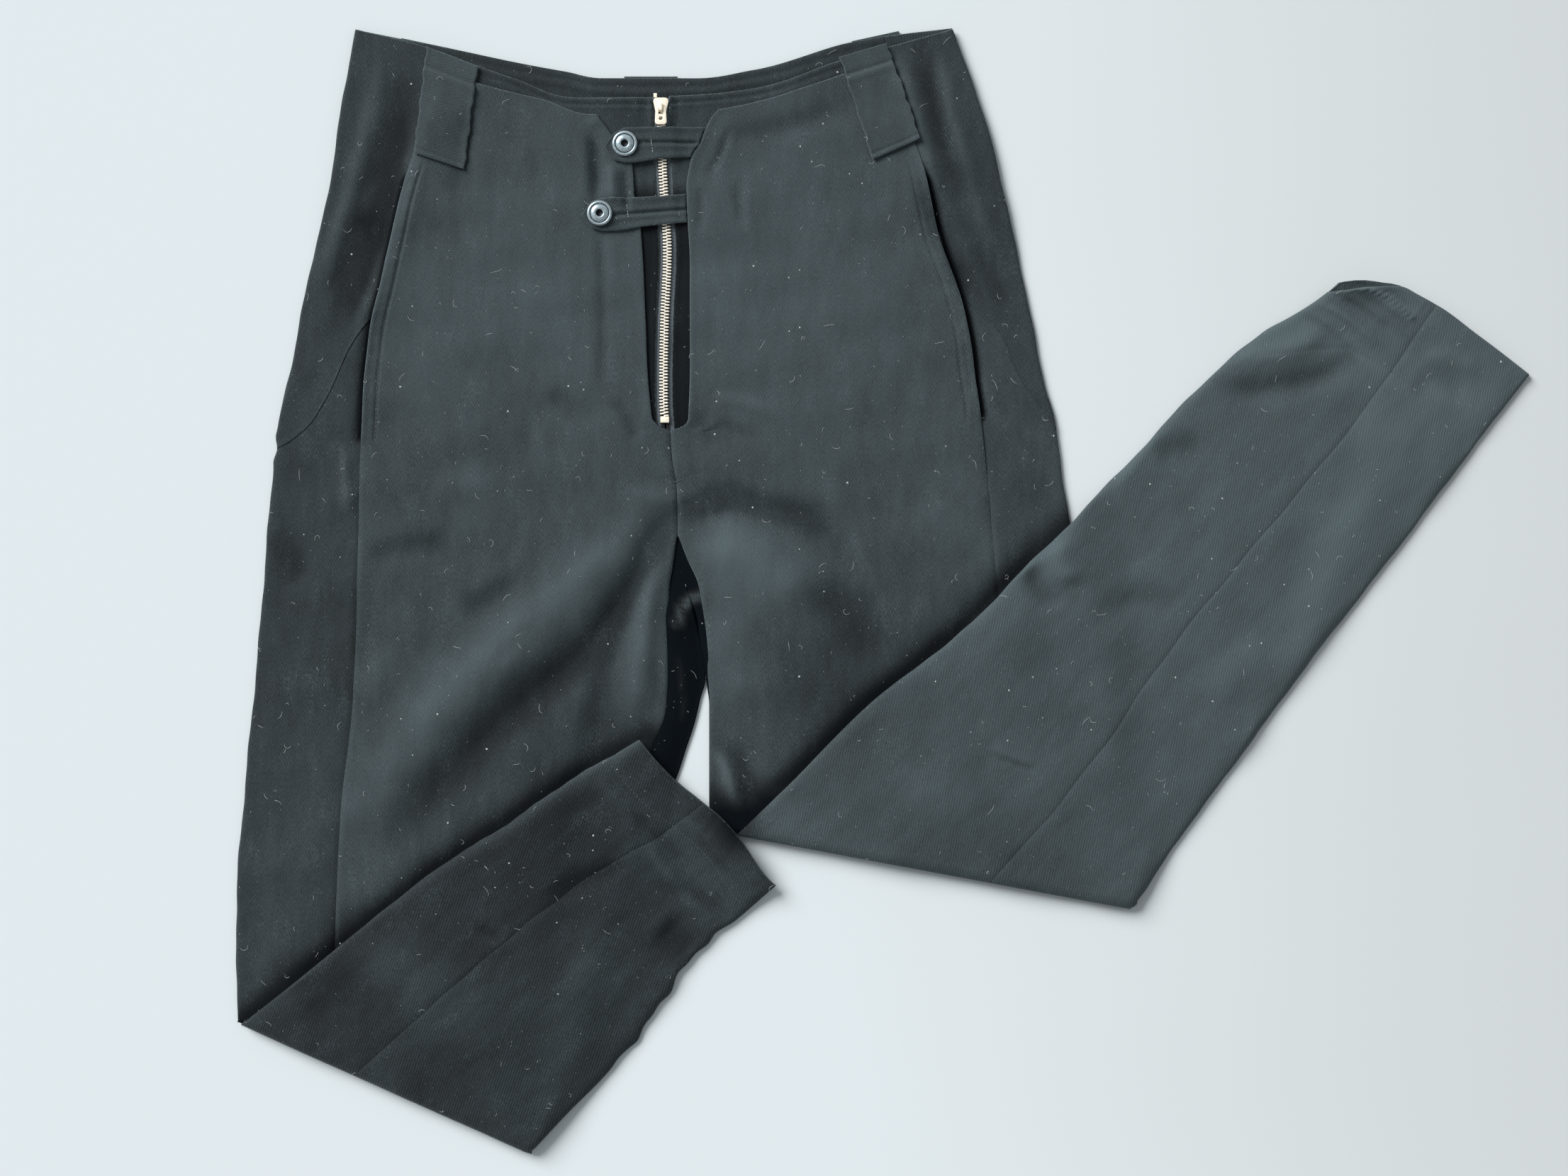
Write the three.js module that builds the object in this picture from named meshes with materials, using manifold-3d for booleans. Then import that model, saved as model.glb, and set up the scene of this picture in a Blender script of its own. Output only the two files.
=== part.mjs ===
// High-waisted wool trousers laid flat, face up, with both lower legs folded up over the thighs.
// Millimetres. +X is the wearer's left, +Y the waist, +Z up from the surface the cloth lies on.
// The origin is under the middle of the laid-out garment. In names, r and l are the wearer's.
import * as THREE from 'three';
import * as BufferGeometryUtils from 'three/addons/utils/BufferGeometryUtils.js';
import Module from 'manifold-3d';

// Cloth and how its layers lie on each other
const CLOTH = 1.2; // wall of a single layer
const STRIP = 1.5; // wall of a loop or tab, sewn double
const TAPE = 0.6; // zip tape
const SEAM = 0.3; // between pieces that are sewn edge to edge
const LONG_SEAM = 0.7; // where their rows don't share corners
const REST = 0.5; // between layers that lie on each other
const FOLD_REST = 1.4; // between a folded lower leg and the thigh under it
const RIM = 2; // underside of the front layer at the garment's edge
const PUFF = 2.9; // how much higher it lies inside
const PUFF_REACH = 60; // over this distance from the edge
const SHIN_PUFF = 2.2;
const DROP_REACH = 34; // a folded leg comes down to the surface over this distance
const LOOP_LIFT = STRIP + SEAM; // the back waist lies on its loops
const LOOP_LIFT_FROM = 205; // height up the back where that lift begins and ends
const LOOP_LIFT_TO = 250;
const LAP = CLOTH + REST; // the outer fronts lie on the underlay
const LAP_FROM = 36; // and come down to the single layer below the fly
const LAP_TO = 98;
const POCKET_UNDER = 13; // how far the yoke goes in under the pocket edge
const POCKET_END = 108; // heights of the pocket's lower and upper ends
const POCKET_TOP = 262;
const BACK_WRAP = 46; // how far the side panels reach round to the back
const UNDER_EDGE = 5.2; // underlay edge from the zip's middle
const YOKE_BACK_R = 90; // height at which each yoke ends on the back
const YOKE_BACK_L = 102;

// Knee folds and the lower legs
const KNEE_BEND = 4.5; // the back turns up round the knee fold on this radius
const KNEE_GAP = 1.2; // and the thigh panels end this far from it
const SHIN_WRAP = 58; // how far a lower leg's side panel reaches round under it
const SHIN_INSET = 1.5; // the hidden front stays this far inside the leg's other edge

// Zip
const TAPE_HALF = 12;
const TAPE_TOP = 318;
const TAPE_REST = 0.4; // the tape hangs this far under the front layer
const CHAIN_HALF = 2.6;
const CHAIN_TALL = 1.9;
const CHAIN_SINK = 0.1; // chain and stops reach this far below the front layer's underside
const ZIP_FOOT = 106;
const WEDGE_Y = 310; // the tapes part round the slider's wedge here
const SLIDER_FOOT = 304.5;
const SLIDER_TOP = 313.5;
const SLIDER_HALF = 4.8;
const SLIDER_TAPER = 1.4; // it is this much narrower at its foot on each side
const SLIDER_ROUND = 2.5;
const PLATE = 1;
const UNDER_PLATE_GAP = 0.3; // plates from the tape below and the chain above
const OVER_PLATE_GAP = 0.2;
const WEDGE_HALF = 1.2;
const WEDGE_LONG = 2.4;
const WEDGE_INSET = 0.6;
const BRIDGE_HALF = 0.9;
const BRIDGE_POST = 0.9;
const BRIDGE_BEHIND = 1.9; // bridge's ends from the pull's hinge
const BRIDGE_AHEAD = 2.6;
const BRIDGE_GAP = 2.2; // clear height under the bridge
const BRIDGE_THICK = 0.8;
const PULL_Y = 307; // the pull tab's hinge
const PULL_LONG = 10.6;
const PULL_HALF = 3.7;
const PULL_THICK = 0.9;
const PULL_WAIST = 0.4; // it is this much narrower near its hinge on each side
const PULL_SHOULDER = 1.1;
const PULL_ROUND = 2;
const BAR = 0.5;
const EYE_HALF = 1.5;
const EYE_LONG = 4.2;
const HOLE_Y = -6.8;
const HOLE_RADIUS = 1.2;
const TOP_STOP = [2.2, 2.8, 1.7];
const TOP_STOP_ASIDE = 3.6;
const BOTTOM_STOP = [5.6, 4, 2.2];
const BOTTOM_STOP_UP = 3.5;

// Tabs and buttons
const TAB_DOWN_FROM = -134; // a tab comes down into the fly opening between these
const TAB_DOWN_TO = -124;
const BUTTON_SIDES = 28;

// Finishes
const WOOL = { color: 0x2b3133, roughness: 0.95, metalness: 0 };
const BRASS = { color: 0xc9a06a, roughness: 0.35, metalness: 1 };
const PULL_BRASS = { color: 0xd6b07a, roughness: 0.3, metalness: 1 };
const STEEL = { color: 0x9aa4aa, roughness: 0.3, metalness: 1 };

const table = (columns, rows) => {
  const names = columns.split(' ');
  return rows.map((row) => Object.fromEntries(names.map((name, i) => [name, row[i]])));
};

const clamp01 = (t) => Math.min(1, Math.max(0, t));
const smooth = (t) => clamp01(t) ** 2 * (3 - 2 * clamp01(t));
const lerp = (a, b, t) => a + (b - a) * t;

// A column of a table as a function of another one: a cubic through the rows, with slopes that
// never overshoot them. The rows run in rising order of the key.
function curve(rows, key, column) {
  const x = rows.map((row) => row[key]);
  const y = rows.map((row) => row[column]);
  const step = x.slice(1).map((value, i) => (y[i + 1] - y[i]) / (value - x[i]));
  const slope = x.map((_, i) => {
    if (i === 0) return step[0];
    if (i === x.length - 1) return step[i - 1];
    if (step[i - 1] * step[i] <= 0) return 0;
    return (2 * step[i - 1] * step[i]) / (step[i - 1] + step[i]);
  });
  return (at) => {
    let i = 0;
    while (i < x.length - 2 && at > x[i + 1]) i += 1;
    const width = x[i + 1] - x[i];
    const t = clamp01((at - x[i]) / width);
    const a = y[i] + slope[i] * width * t;
    const b = y[i + 1] - slope[i + 1] * width * (1 - t);
    return lerp(a, b, smooth(t));
  };
}

// The outline and the seams that run down each leg
const rightLeg = table('y outer seam', [
  [-358, -408, -352], [-292, -410, -351], [-210, -411, -347], [-142, -407, -344], [-67, -400, -336],
  [14, -393, -333], [63, -389, -332], [113, -383, -330], [153, -374, -327], [197, -366, -318],
  [233, -357, -310], [261, -351, -303], [282, -348, -297], [325, -341, -290], [358, -335, -285],
]);
const leftLeg = table('y outer seam', [
  [-202, 158, 102], [-136, 149, 96], [-72, 139, 90], [-6, 129, 75], [61, 117, 68], [110, 110, 63], [132, 104, 60],
  [176, 95, 53], [227, 84, 36], [270, 74, 26], [300, 66, 14], [345, 50, -4], [359, 45, -7],
]);

// Inner edges of the legs: the front parts at its crotch, the back lower down
const FRONT_CROTCH = 36;
const BACK_CROTCH = -53;
const rightInner = table('y front back', [
  [-358, -223, -223], [-292, -205, -205], [-210, -182, -182], [-142, -160, -142], [-99, -145, -124],
  [-67, -136, -115], [-53, -135.5, -112], [-1, -135, -112], [14, -133, -112], [36, -130, -112],
]);
const leftInner = table('y front back', [
  [-202, -80, -80], [-155, -95, -95], [-136, -110, -110], [-72, -110, -110], [-53, -111, -112],
  [-6, -115, -112], [23, -125, -112], [36, -130, -112],
]);
const centreFront = table('y x', [[36, -130], [63, -130.3], [84, -133.3], [103, -134.5]]);
const centreBack = table('y x', [[-53, -112], [-20, -118], [36, -130], [100, -134], [327, -147]]);

// Edges that run across it
const backWaist = table('x y', [
  [-335, 358], [-275, 346], [-200, 331], [-174, 327], [-129, 327], [-83, 332], [-19, 350], [45, 359],
]);
const underWaist = table('x y', [
  [-335, 358], [-289, 346], [-233, 326], [-186, 314], [-147, 314], [-133, 315], [-95, 318], [-28, 337], [45, 358],
]);
const frontWaistRight = table('x y', [[-290, 335], [-257, 323], [-213, 312], [-181, 303], [-130, 303]]);
const frontWaistLeft = table('x y', [[-140, 306], [-104, 306], [-80, 311], [-50, 320], [-26, 328], [12, 341]]);
const yokeSeamRight = table('x y', [[-387, 90], [-370, 101], [-354, 122], [-347, 136], [-335, 161], [-318, 180]]);
const yokeSeamLeft = table('x y', [[50, 190], [58, 181], [77, 160], [87, 137], [97, 122], [112, 102]]);
const zipMiddle = table('y x', [[100, -137], [127, -138.6], [173, -138], [216, -136.3], [233, -137], [275, -139.4], [320, -140.5]]);

// Edges of the fly opening in the outer fronts
const flyRight = table('y x', [
  [102.5, -134.8], [104, -140], [107, -143.5], [112, -146], [173, -150], [230, -153], [252, -157], [268, -158],
  [292, -173], [303, -181],
]);
const flyLeft = table('y x', [
  [102.5, -134.2], [104, -129], [106, -125.5], [110, -123], [161, -122], [207, -122], [252, -124], [271, -122],
  [286, -115], [300, -109], [306, -104],
]);
const FLY_FOOT = 102.5; // the fly opening's lowest point
const FLY_ROUND = 112; // and where its round end begins

// The underlay is a band along the waist and a strip beside the zip
const underEdgeRight = table('y x', [[88, -172], [255, -176], [272, -196], [288, -260], [300, -289.5], [325, -286.5], [345, -283.5]]);
const underEdgeLeft = table('y x', [[88, -98], [255, -95], [272, -76], [288, -22], [300, 8], [325, 0], [345, -9]]);
const UNDER_FOOT = 90;

// The folded lower legs, in their own axes: along from the fold to the hem, across to its right
const rightShin = {
  origin: [-223, -358],
  turn: 42,
  outerSide: -1,
  foldSlope: 82 / 185,
  edges: table('along left seam right', [
    [-82, -185, -112, 0], [-38, -182, -113, 0], [22, -179, -113, -3], [79, -175, -112, -7], [126, -167, -109, -16],
    [175, -161, -101, -25], [205, -155, -95, -23], [234, -149, -93, -23],
  ]),
  hem: table('across along', [[-150, 228], [-127, 227], [-96, 231], [-65, 234], [-31, 230], [-20, 231]]),
};
const leftShin = {
  origin: [158, -202],
  turn: 49,
  outerSide: 1,
  foldSlope: 129 / 220,
  edges: table('along left seam right', [
    [-129, -220, -79, 0], [-79, -216, -79, 0], [-16, -212, -79, 0], [60, -198, -81, -6], [126, -193, -88, -11],
    [200, -188, -92, -17], [289, -184, -94, -22], [331, -177, -96, -25], [388, -162, -102, -29], [424, -160, -106, -31],
  ]),
  hem: table('across along', [[-169, 378], [-142, 404], [-121, 415], [-74, 421], [-31, 424]]),
};

// Across and along a folded leg, to the garment's own axes
function shinPlan(shin, across, along) {
  const a = THREE.MathUtils.degToRad(shin.turn);
  return [
    shin.origin[0] + along * Math.cos(a) + across * Math.sin(a),
    shin.origin[1] + along * Math.sin(a) - across * Math.cos(a),
  ];
}

// Distance inside a closed outline, negative outside it
function insideOf(outline) {
  return (x, y) => {
    let nearest = Infinity;
    let within = false;
    outline.forEach(([ax, ay], i) => {
      const [bx, by] = outline[(i + 1) % outline.length];
      const t = clamp01(((x - ax) * (bx - ax) + (y - ay) * (by - ay)) / ((bx - ax) ** 2 + (by - ay) ** 2));
      nearest = Math.min(nearest, Math.hypot(x - lerp(ax, bx, t), y - lerp(ay, by, t)));
      if (ay > y !== by > y && x < ax + ((bx - ax) * (y - ay)) / (by - ay)) within = !within;
    });
    return within ? nearest : -nearest;
  };
}

const OPEN_WAIST = 460; // the waist is open, so the outline that the front rises from goes on past it
const bodyInside = insideOf([
  [rightLeg.at(-1).outer, OPEN_WAIST],
  ...rightLeg.toReversed().filter((row) => row.y > -300).map((row) => [row.outer, row.y]),
  [-408, -275],
  [-223, -358],
  ...rightInner.slice(1).map((row) => [row.front, row.y]),
  ...leftInner.slice(1, -1).toReversed().map((row) => [row.front, row.y]),
  [-92, -155],
  [158, -202],
  ...leftLeg.filter((row) => row.y > -190).map((row) => [row.outer, row.y]),
  [leftLeg.at(-1).outer, OPEN_WAIST],
]);
const shinInside = (shin) => insideOf([
  ...shin.edges.map((row) => shinPlan(shin, row.left, row.along)),
  ...shin.edges.toReversed().map((row) => shinPlan(shin, row.right, row.along)),
]);

// Heights: underside of the back, of the front, and of each folded leg
const floorHeight = (x, y) => LOOP_LIFT * smooth((y - LOOP_LIFT_FROM) / (LOOP_LIFT_TO - LOOP_LIFT_FROM));
const frontHeight = (x, y) => floorHeight(x, y) + RIM + PUFF * smooth(bodyInside(x, y) / PUFF_REACH);
const lapHeight = (x, y) => frontHeight(x, y) + LAP * smooth((y - LAP_FROM) / (LAP_TO - LAP_FROM));
const restOn = (top, inside) => (top + FOLD_REST) * smooth(1 + Math.min(0, inside) / DROP_REACH);
const leftShinInside = shinInside(leftShin);
const rightShinInside = shinInside(rightShin);
const leftShinHeight = (x, y) => restOn(lapHeight(x, y) + CLOTH, bodyInside(x, y));
const leftShinTop = (x, y) => leftShinHeight(x, y) + RIM + SHIN_PUFF * smooth(leftShinInside(x, y) / PUFF_REACH) + CLOTH;
const rightShinHeight = (x, y) => Math.max(leftShinHeight(x, y), restOn(leftShinTop(x, y), leftShinInside(x, y)));
const rightShinTop = (x, y) => rightShinHeight(x, y) + RIM + SHIN_PUFF * smooth(rightShinInside(x, y) / PUFF_REACH) + CLOTH;

// A wall from a grid: at(i, j) gives a point of its outer face and the way out of it there
function wall(name, columns, rows, at, thickness = CLOTH, finish = WOOL) {
  const points = [];
  const wide = columns + 1;
  const layer = wide * (rows + 1);
  const outer = [];
  for (let j = 0; j <= rows; j += 1) for (let i = 0; i <= columns; i += 1) outer.push(at(i, j));
  outer.forEach(({ p }) => points.push(...p));
  outer.forEach(({ p, n }) => points.push(p[0] - n[0] * thickness, p[1] - n[1] * thickness, p[2] - n[2] * thickness));
  const index = [];
  const quad = (a, b, c, d) => index.push(a, b, c, a, c, d);
  for (let j = 0; j < rows; j += 1) {
    for (let i = 0; i < columns; i += 1) {
      const a = j * wide + i;
      quad(a, a + 1, a + 1 + wide, a + wide);
      quad(a + layer, a + wide + layer, a + 1 + wide + layer, a + 1 + layer);
    }
  }
  const rim = [];
  for (let i = 0; i < columns; i += 1) rim.push(i);
  for (let j = 0; j < rows; j += 1) rim.push(j * wide + columns);
  for (let i = columns; i > 0; i -= 1) rim.push(rows * wide + i);
  for (let j = rows; j > 0; j -= 1) rim.push(j * wide);
  rim.forEach((a, k) => {
    const b = rim[(k + 1) % rim.length];
    quad(b, a, a + layer, b + layer);
  });
  const geometry = new THREE.BufferGeometry();
  geometry.setAttribute('position', new THREE.Float32BufferAttribute(points, 3));
  geometry.setIndex(index);
  return mesh(name, facingOut(geometry), finish);
}

// Turns a closed surface the right way out, from the sign of its volume
function facingOut(geometry) {
  const p = geometry.getAttribute('position');
  const index = Array.from(geometry.getIndex().array);
  const corner = (k) => new THREE.Vector3().fromBufferAttribute(p, index[k]);
  let volume = 0;
  for (let k = 0; k < index.length; k += 3) volume += corner(k).dot(corner(k + 1).cross(corner(k + 2)));
  if (volume < 0) {
    for (let k = 0; k < index.length; k += 3) [index[k + 1], index[k + 2]] = [index[k + 2], index[k + 1]];
    geometry.setIndex(index);
  }
  geometry.computeVertexNormals();
  return geometry;
}

function mesh(name, geometry, finish) {
  const made = new THREE.Mesh(geometry, new THREE.MeshStandardMaterial(finish));
  made.name = name;
  return made;
}

// Where a line across(y) that runs down a panel meets an edge(x) that runs across it
function meet(across, edge, start) {
  let y = start;
  for (let n = 0; n < 12; n += 1) y = lerp(y, edge(across(y)), 0.6);
  return y;
}

// A flat-lying panel between two lines that run down it and two edges across it.
// levels are rows that run level, { row, y }, so that pieces sewn together share their corners.
function flatPanel(name, {
  left, right, top, bottom, height, columns, rows, thickness = CLOTH, finish = WOOL, plan, under = false, levels = [],
}) {
  const place = plan ?? ((x, y) => [x, y]);
  return wall(name, columns, rows, (i, j) => {
    const u = i / columns;
    const across = (y) => lerp(left(y), right(y), u);
    const stops = [
      { row: 0, y: meet(across, top, top(0)) },
      ...levels,
      { row: rows, y: meet(across, bottom, bottom(0)) },
    ];
    const next = Math.max(1, stops.findIndex(({ row }) => row >= j));
    const [from, to] = [stops[next - 1], stops[next]];
    const y = lerp(from.y, to.y, (j - from.row) / (to.row - from.row));
    const [px, py] = place(across(y), y);
    if (under) return { p: [px, py, height(px, py)], n: [0, 0, -1] };
    return { p: [px, py, height(px, py) + thickness], n: [0, 0, 1] };
  }, thickness, finish);
}

// A panel that starts at a seam on top, goes round the garment's edge and ends at a seam below.
// side is the way the edge faces across the panel's own axes, turn the way those are turned.
const TOP_COLUMNS = 4;
const ARC_COLUMNS = 4;
function wrapPanel(name, {
  seam, outer, back, side, topEdge, topEdgeUnder, bottomEdge, bottomEdgeUnder, high, low, rows, underColumns, plan, turn = 0,
}) {
  const place = plan ?? ((x, y) => [x, y]);
  const outward = [side * Math.cos(turn), side * Math.sin(turn)];
  const arcEnd = TOP_COLUMNS + ARC_COLUMNS;
  const columns = arcEnd + underColumns;
  const radiusAt = (y) => {
    const [px, py] = place(outer(y), y);
    return (high(px, py) + CLOTH - low(px, py)) / 2;
  };
  return wall(name, columns, rows, (i, j) => {
    const across = (y) => {
      const edge = outer(y) - side * radiusAt(y);
      if (i <= TOP_COLUMNS) return lerp(seam(y), edge, i / TOP_COLUMNS);
      if (i >= arcEnd) return lerp(edge, back(y), (i - arcEnd) / underColumns);
      return edge;
    };
    const over = (x) => lerp(topEdge(x), topEdgeUnder(x), clamp01((i - TOP_COLUMNS) / ARC_COLUMNS));
    const under = (x) => lerp(bottomEdge(x), bottomEdgeUnder(x), clamp01((i - TOP_COLUMNS) / ARC_COLUMNS));
    const y = lerp(meet(across, over, over(outer(0))), meet(across, under, under(outer(0))), j / rows);
    const [px, py] = place(across(y), y);
    if (i <= TOP_COLUMNS) {
      const [ex, ey] = place(outer(y), y);
      const toEdge = i / TOP_COLUMNS;
      return { p: [px, py, lerp(high(px, py), high(ex, ey), toEdge ** 4) + CLOTH], n: [0, 0, 1] };
    }
    if (i >= arcEnd) return { p: [px, py, low(px, py)], n: [0, 0, -1] };
    const radius = radiusAt(y);
    const angle = Math.PI * (0.5 - (i - TOP_COLUMNS) / ARC_COLUMNS);
    const n = [outward[0] * Math.cos(angle), outward[1] * Math.cos(angle), Math.sin(angle)];
    const [ex, ey] = place(outer(y), y);
    const middle = low(ex, ey) + radius;
    return { p: [px + n[0] * radius, py + n[1] * radius, middle + n[2] * radius], n };
  });
}

const trousers = new THREE.Group();

// Seat, thighs and hips -------------------------------------------------------------------
const foldRight = (x) => lerp(-275, -358, (x + 408) / 185) + KNEE_BEND + KNEE_GAP;
const foldLeft = (x) => lerp(-155, -202, (x + 92) / 250) + KNEE_BEND + KNEE_GAP;
const half = SEAM / 2;

function legPieces(side, rows, innerRows, flyEdge, frontWaist, yokeSeam, yokeBack, fold) {
  const tag = side < 0 ? 'r' : 'l';
  const outer = curve(rows, 'y', 'outer');
  const seam = curve(rows, 'y', 'seam');
  const frontInner = curve(innerRows, 'y', 'front');
  const backInner = curve(innerRows, 'y', 'back');
  const frontCentre = curve(centreFront, 'y', 'x');
  const backCentre = curve(centreBack, 'y', 'x');
  const inner = (y) => (y > FRONT_CROTCH ? frontCentre(y) : frontInner(y));
  const fly = curve(flyEdge, 'y', 'x');
  const backSeam = (y) => outer(y) - side * BACK_WRAP;
  const waistBack = curve(backWaist, 'x', 'y');
  const waistUnder = curve(underWaist, 'x', 'y');
  const yoke = curve(yokeSeam, 'x', 'y');
  const pocket = (y) => smooth((y - POCKET_END) / POCKET_UNDER) * smooth((POCKET_TOP - y) / POCKET_UNDER + 1);
  const underFront = (y) => seam(y) + side * (half - POCKET_UNDER * pocket(y));
  trousers.add(flatPanel(`back_${tag}`, {
    left: (y) => backSeam(y) - side * LONG_SEAM,
    right: (y) => (y > BACK_CROTCH ? backCentre(y) : backInner(y)) + side * half,
    top: waistBack, bottom: fold, height: floorHeight, columns: 6, rows: 15, under: true,
    levels: [{ row: 10, y: BACK_CROTCH }],
  }));
  trousers.add(flatPanel(`front_${tag}`, {
    left: (y) => seam(y) - side * LONG_SEAM,
    right: (y) => (y > FLY_FOOT ? fly(y) : inner(y) + side * half),
    top: curve(frontWaist, 'x', 'y'), bottom: fold, height: lapHeight, columns: 7, rows: 27,
    levels: [{ row: 9, y: FLY_ROUND }, { row: 13, y: FLY_FOOT }, { row: 16, y: FRONT_CROTCH }],
  }));
  trousers.add(wrapPanel(`yoke_${tag}`, {
    seam: underFront, outer, back: (y) => backSeam(y) + side * half, side,
    topEdge: waistUnder, topEdgeUnder: waistBack,
    bottomEdge: (x) => yoke(x) + SEAM, bottomEdgeUnder: () => yokeBack + SEAM,
    high: frontHeight, low: floorHeight, rows: 11, underColumns: 2,
  }));
  trousers.add(wrapPanel(`side_${tag}`, {
    seam: underFront, outer, back: (y) => backSeam(y) + side * half, side,
    topEdge: (x) => yoke(x) - SEAM, topEdgeUnder: () => yokeBack - SEAM,
    bottomEdge: fold, bottomEdgeUnder: fold,
    high: frontHeight, low: floorHeight, rows: 11, underColumns: 2,
  }));
}
legPieces(-1, rightLeg, rightInner, flyRight, frontWaistRight, yokeSeamRight, YOKE_BACK_R, foldRight);
legPieces(1, leftLeg, leftInner, flyLeft, frontWaistLeft, yokeSeamLeft, YOKE_BACK_L, foldLeft);

// Folded lower legs -----------------------------------------------------------------------
const BEND_ROWS = 5;
function shinPieces(shin, tag, low, top) {
  const plan = (across, along) => shinPlan(shin, across, along);
  const turn = THREE.MathUtils.degToRad(shin.turn) - Math.PI / 2;
  const left = curve(shin.edges, 'along', 'left');
  const right = curve(shin.edges, 'along', 'right');
  const seam = curve(shin.edges, 'along', 'seam');
  const hem = curve(shin.hem, 'across', 'along');
  const side = shin.outerSide;
  const outer = side < 0 ? left : right;
  const inner = side < 0 ? right : left;
  const back = (along) => outer(along) - side * SHIN_WRAP;
  const foldAt = (across) => shin.foldSlope * across + KNEE_BEND;
  const high = (x, y) => top(x, y) - CLOTH;
  trousers.add(flatPanel(`shin_front_${tag}`, {
    left: (along) => back(along) - side * LONG_SEAM, right: (along) => inner(along) + side * SHIN_INSET,
    top: hem, bottom: foldAt, height: low, columns: 5, rows: 18, plan, under: true,
  }));
  trousers.add(wrapPanel(`shin_side_${tag}`, {
    seam: (along) => seam(along) + side * half, outer, back: (along) => back(along) + side * half, side,
    topEdge: hem, topEdgeUnder: hem, bottomEdge: foldAt, bottomEdgeUnder: foldAt,
    high, low, rows: 15, underColumns: 4, plan, turn,
  }));
  // The back panel goes round the knee fold and on up to the hem
  const away = Math.atan2(-1, shin.foldSlope);
  const outward = [Math.cos(away), Math.sin(away)];
  const [zeroX, zeroY] = plan(0, 0);
  const [outX, outY] = plan(...outward);
  const normal = [outX - zeroX, outY - zeroY];
  const columns = 5;
  const rows = 13;
  trousers.add(wall(`shin_back_${tag}`, columns, rows + BEND_ROWS, (i, j) => {
    const across = (along) => lerp(seam(along) - side * LONG_SEAM, inner(along) + side * half, i / columns);
    const start = meet(across, foldAt, foldAt(0));
    const along = lerp(start, meet(across, hem, hem(0)), clamp01((j - BEND_ROWS) / rows));
    const [x, y] = plan(across(along), along);
    const up = top(x, y);
    if (j >= BEND_ROWS) return { p: [x, y, up], n: [0, 0, 1] };
    const angle = Math.PI * (-0.5 + j / BEND_ROWS);
    const n = [normal[0] * Math.cos(angle), normal[1] * Math.cos(angle), Math.sin(angle)];
    return { p: [x + n[0] * KNEE_BEND, y + n[1] * KNEE_BEND, (up / 2) * (1 + n[2])], n };
  }));
}
shinPieces(rightShin, 'r', rightShinHeight, rightShinTop);
shinPieces(leftShin, 'l', leftShinHeight, leftShinTop);

// Underlay and zip ------------------------------------------------------------------------
const zip = curve(zipMiddle, 'y', 'x');
const tapeHeight = (x, y) => frontHeight(x, y) - TAPE_REST - TAPE;
for (const [tag, side, edge] of [['r', -1, underEdgeRight], ['l', 1, underEdgeLeft]]) {
  trousers.add(flatPanel(`underlay_${tag}`, {
    left: curve(edge, 'y', 'x'), right: (y) => zip(y) + side * UNDER_EDGE,
    top: curve(underWaist, 'x', 'y'), bottom: () => UNDER_FOOT, height: frontHeight, columns: 4, rows: 14,
  }));
  trousers.add(flatPanel(`zip_tape_${tag}`, {
    left: (y) => zip(y) + side * TAPE_HALF,
    right: (y) => zip(y) + side * (0.4 + 1.6 * smooth((y - WEDGE_Y + 3) / 3)),
    top: () => TAPE_TOP - 4, bottom: () => UNDER_FOOT + 2, height: tapeHeight,
    columns: 1, rows: 24, thickness: TAPE,
  }));
}
const chainHeight = (x, y) => frontHeight(x, y) - CHAIN_SINK;
trousers.add(flatPanel('zip_chain', {
  left: (y) => zip(y) - CHAIN_HALF, right: (y) => zip(y) + CHAIN_HALF,
  top: () => WEDGE_Y - 2.5, bottom: () => ZIP_FOOT + 6, height: chainHeight, columns: 1, rows: 28,
  thickness: CHAIN_TALL, finish: BRASS,
}));

// Solids that run into each other are joined or cut by this library
const wasm = await Module();
wasm.setup();
function solid(geometry) {
  const bare = geometry.clone();
  bare.deleteAttribute('normal');
  bare.deleteAttribute('uv');
  const merged = BufferGeometryUtils.mergeVertices(bare);
  return new wasm.Manifold(new wasm.Mesh({
    numProp: 3,
    vertProperties: new Float32Array(merged.getAttribute('position').array),
    triVerts: new Uint32Array(merged.getIndex().array),
  }));
}
function surface(made) {
  const { vertProperties, triVerts } = made.getMesh();
  const geometry = new THREE.BufferGeometry();
  geometry.setAttribute('position', new THREE.BufferAttribute(vertProperties, 3));
  geometry.setIndex(new THREE.BufferAttribute(triVerts, 1));
  geometry.computeVertexNormals();
  return geometry;
}
const joined = (...geometries) => surface(geometries.map(solid).reduce((sum, next) => sum.add(next)));

const box = (x0, x1, y0, y1, z0, z1) => new THREE.BoxGeometry(x1 - x0, y1 - y0, z1 - z0)
  .translate((x0 + x1) / 2, (y0 + y1) / 2, (z0 + z1) / 2);

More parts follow.
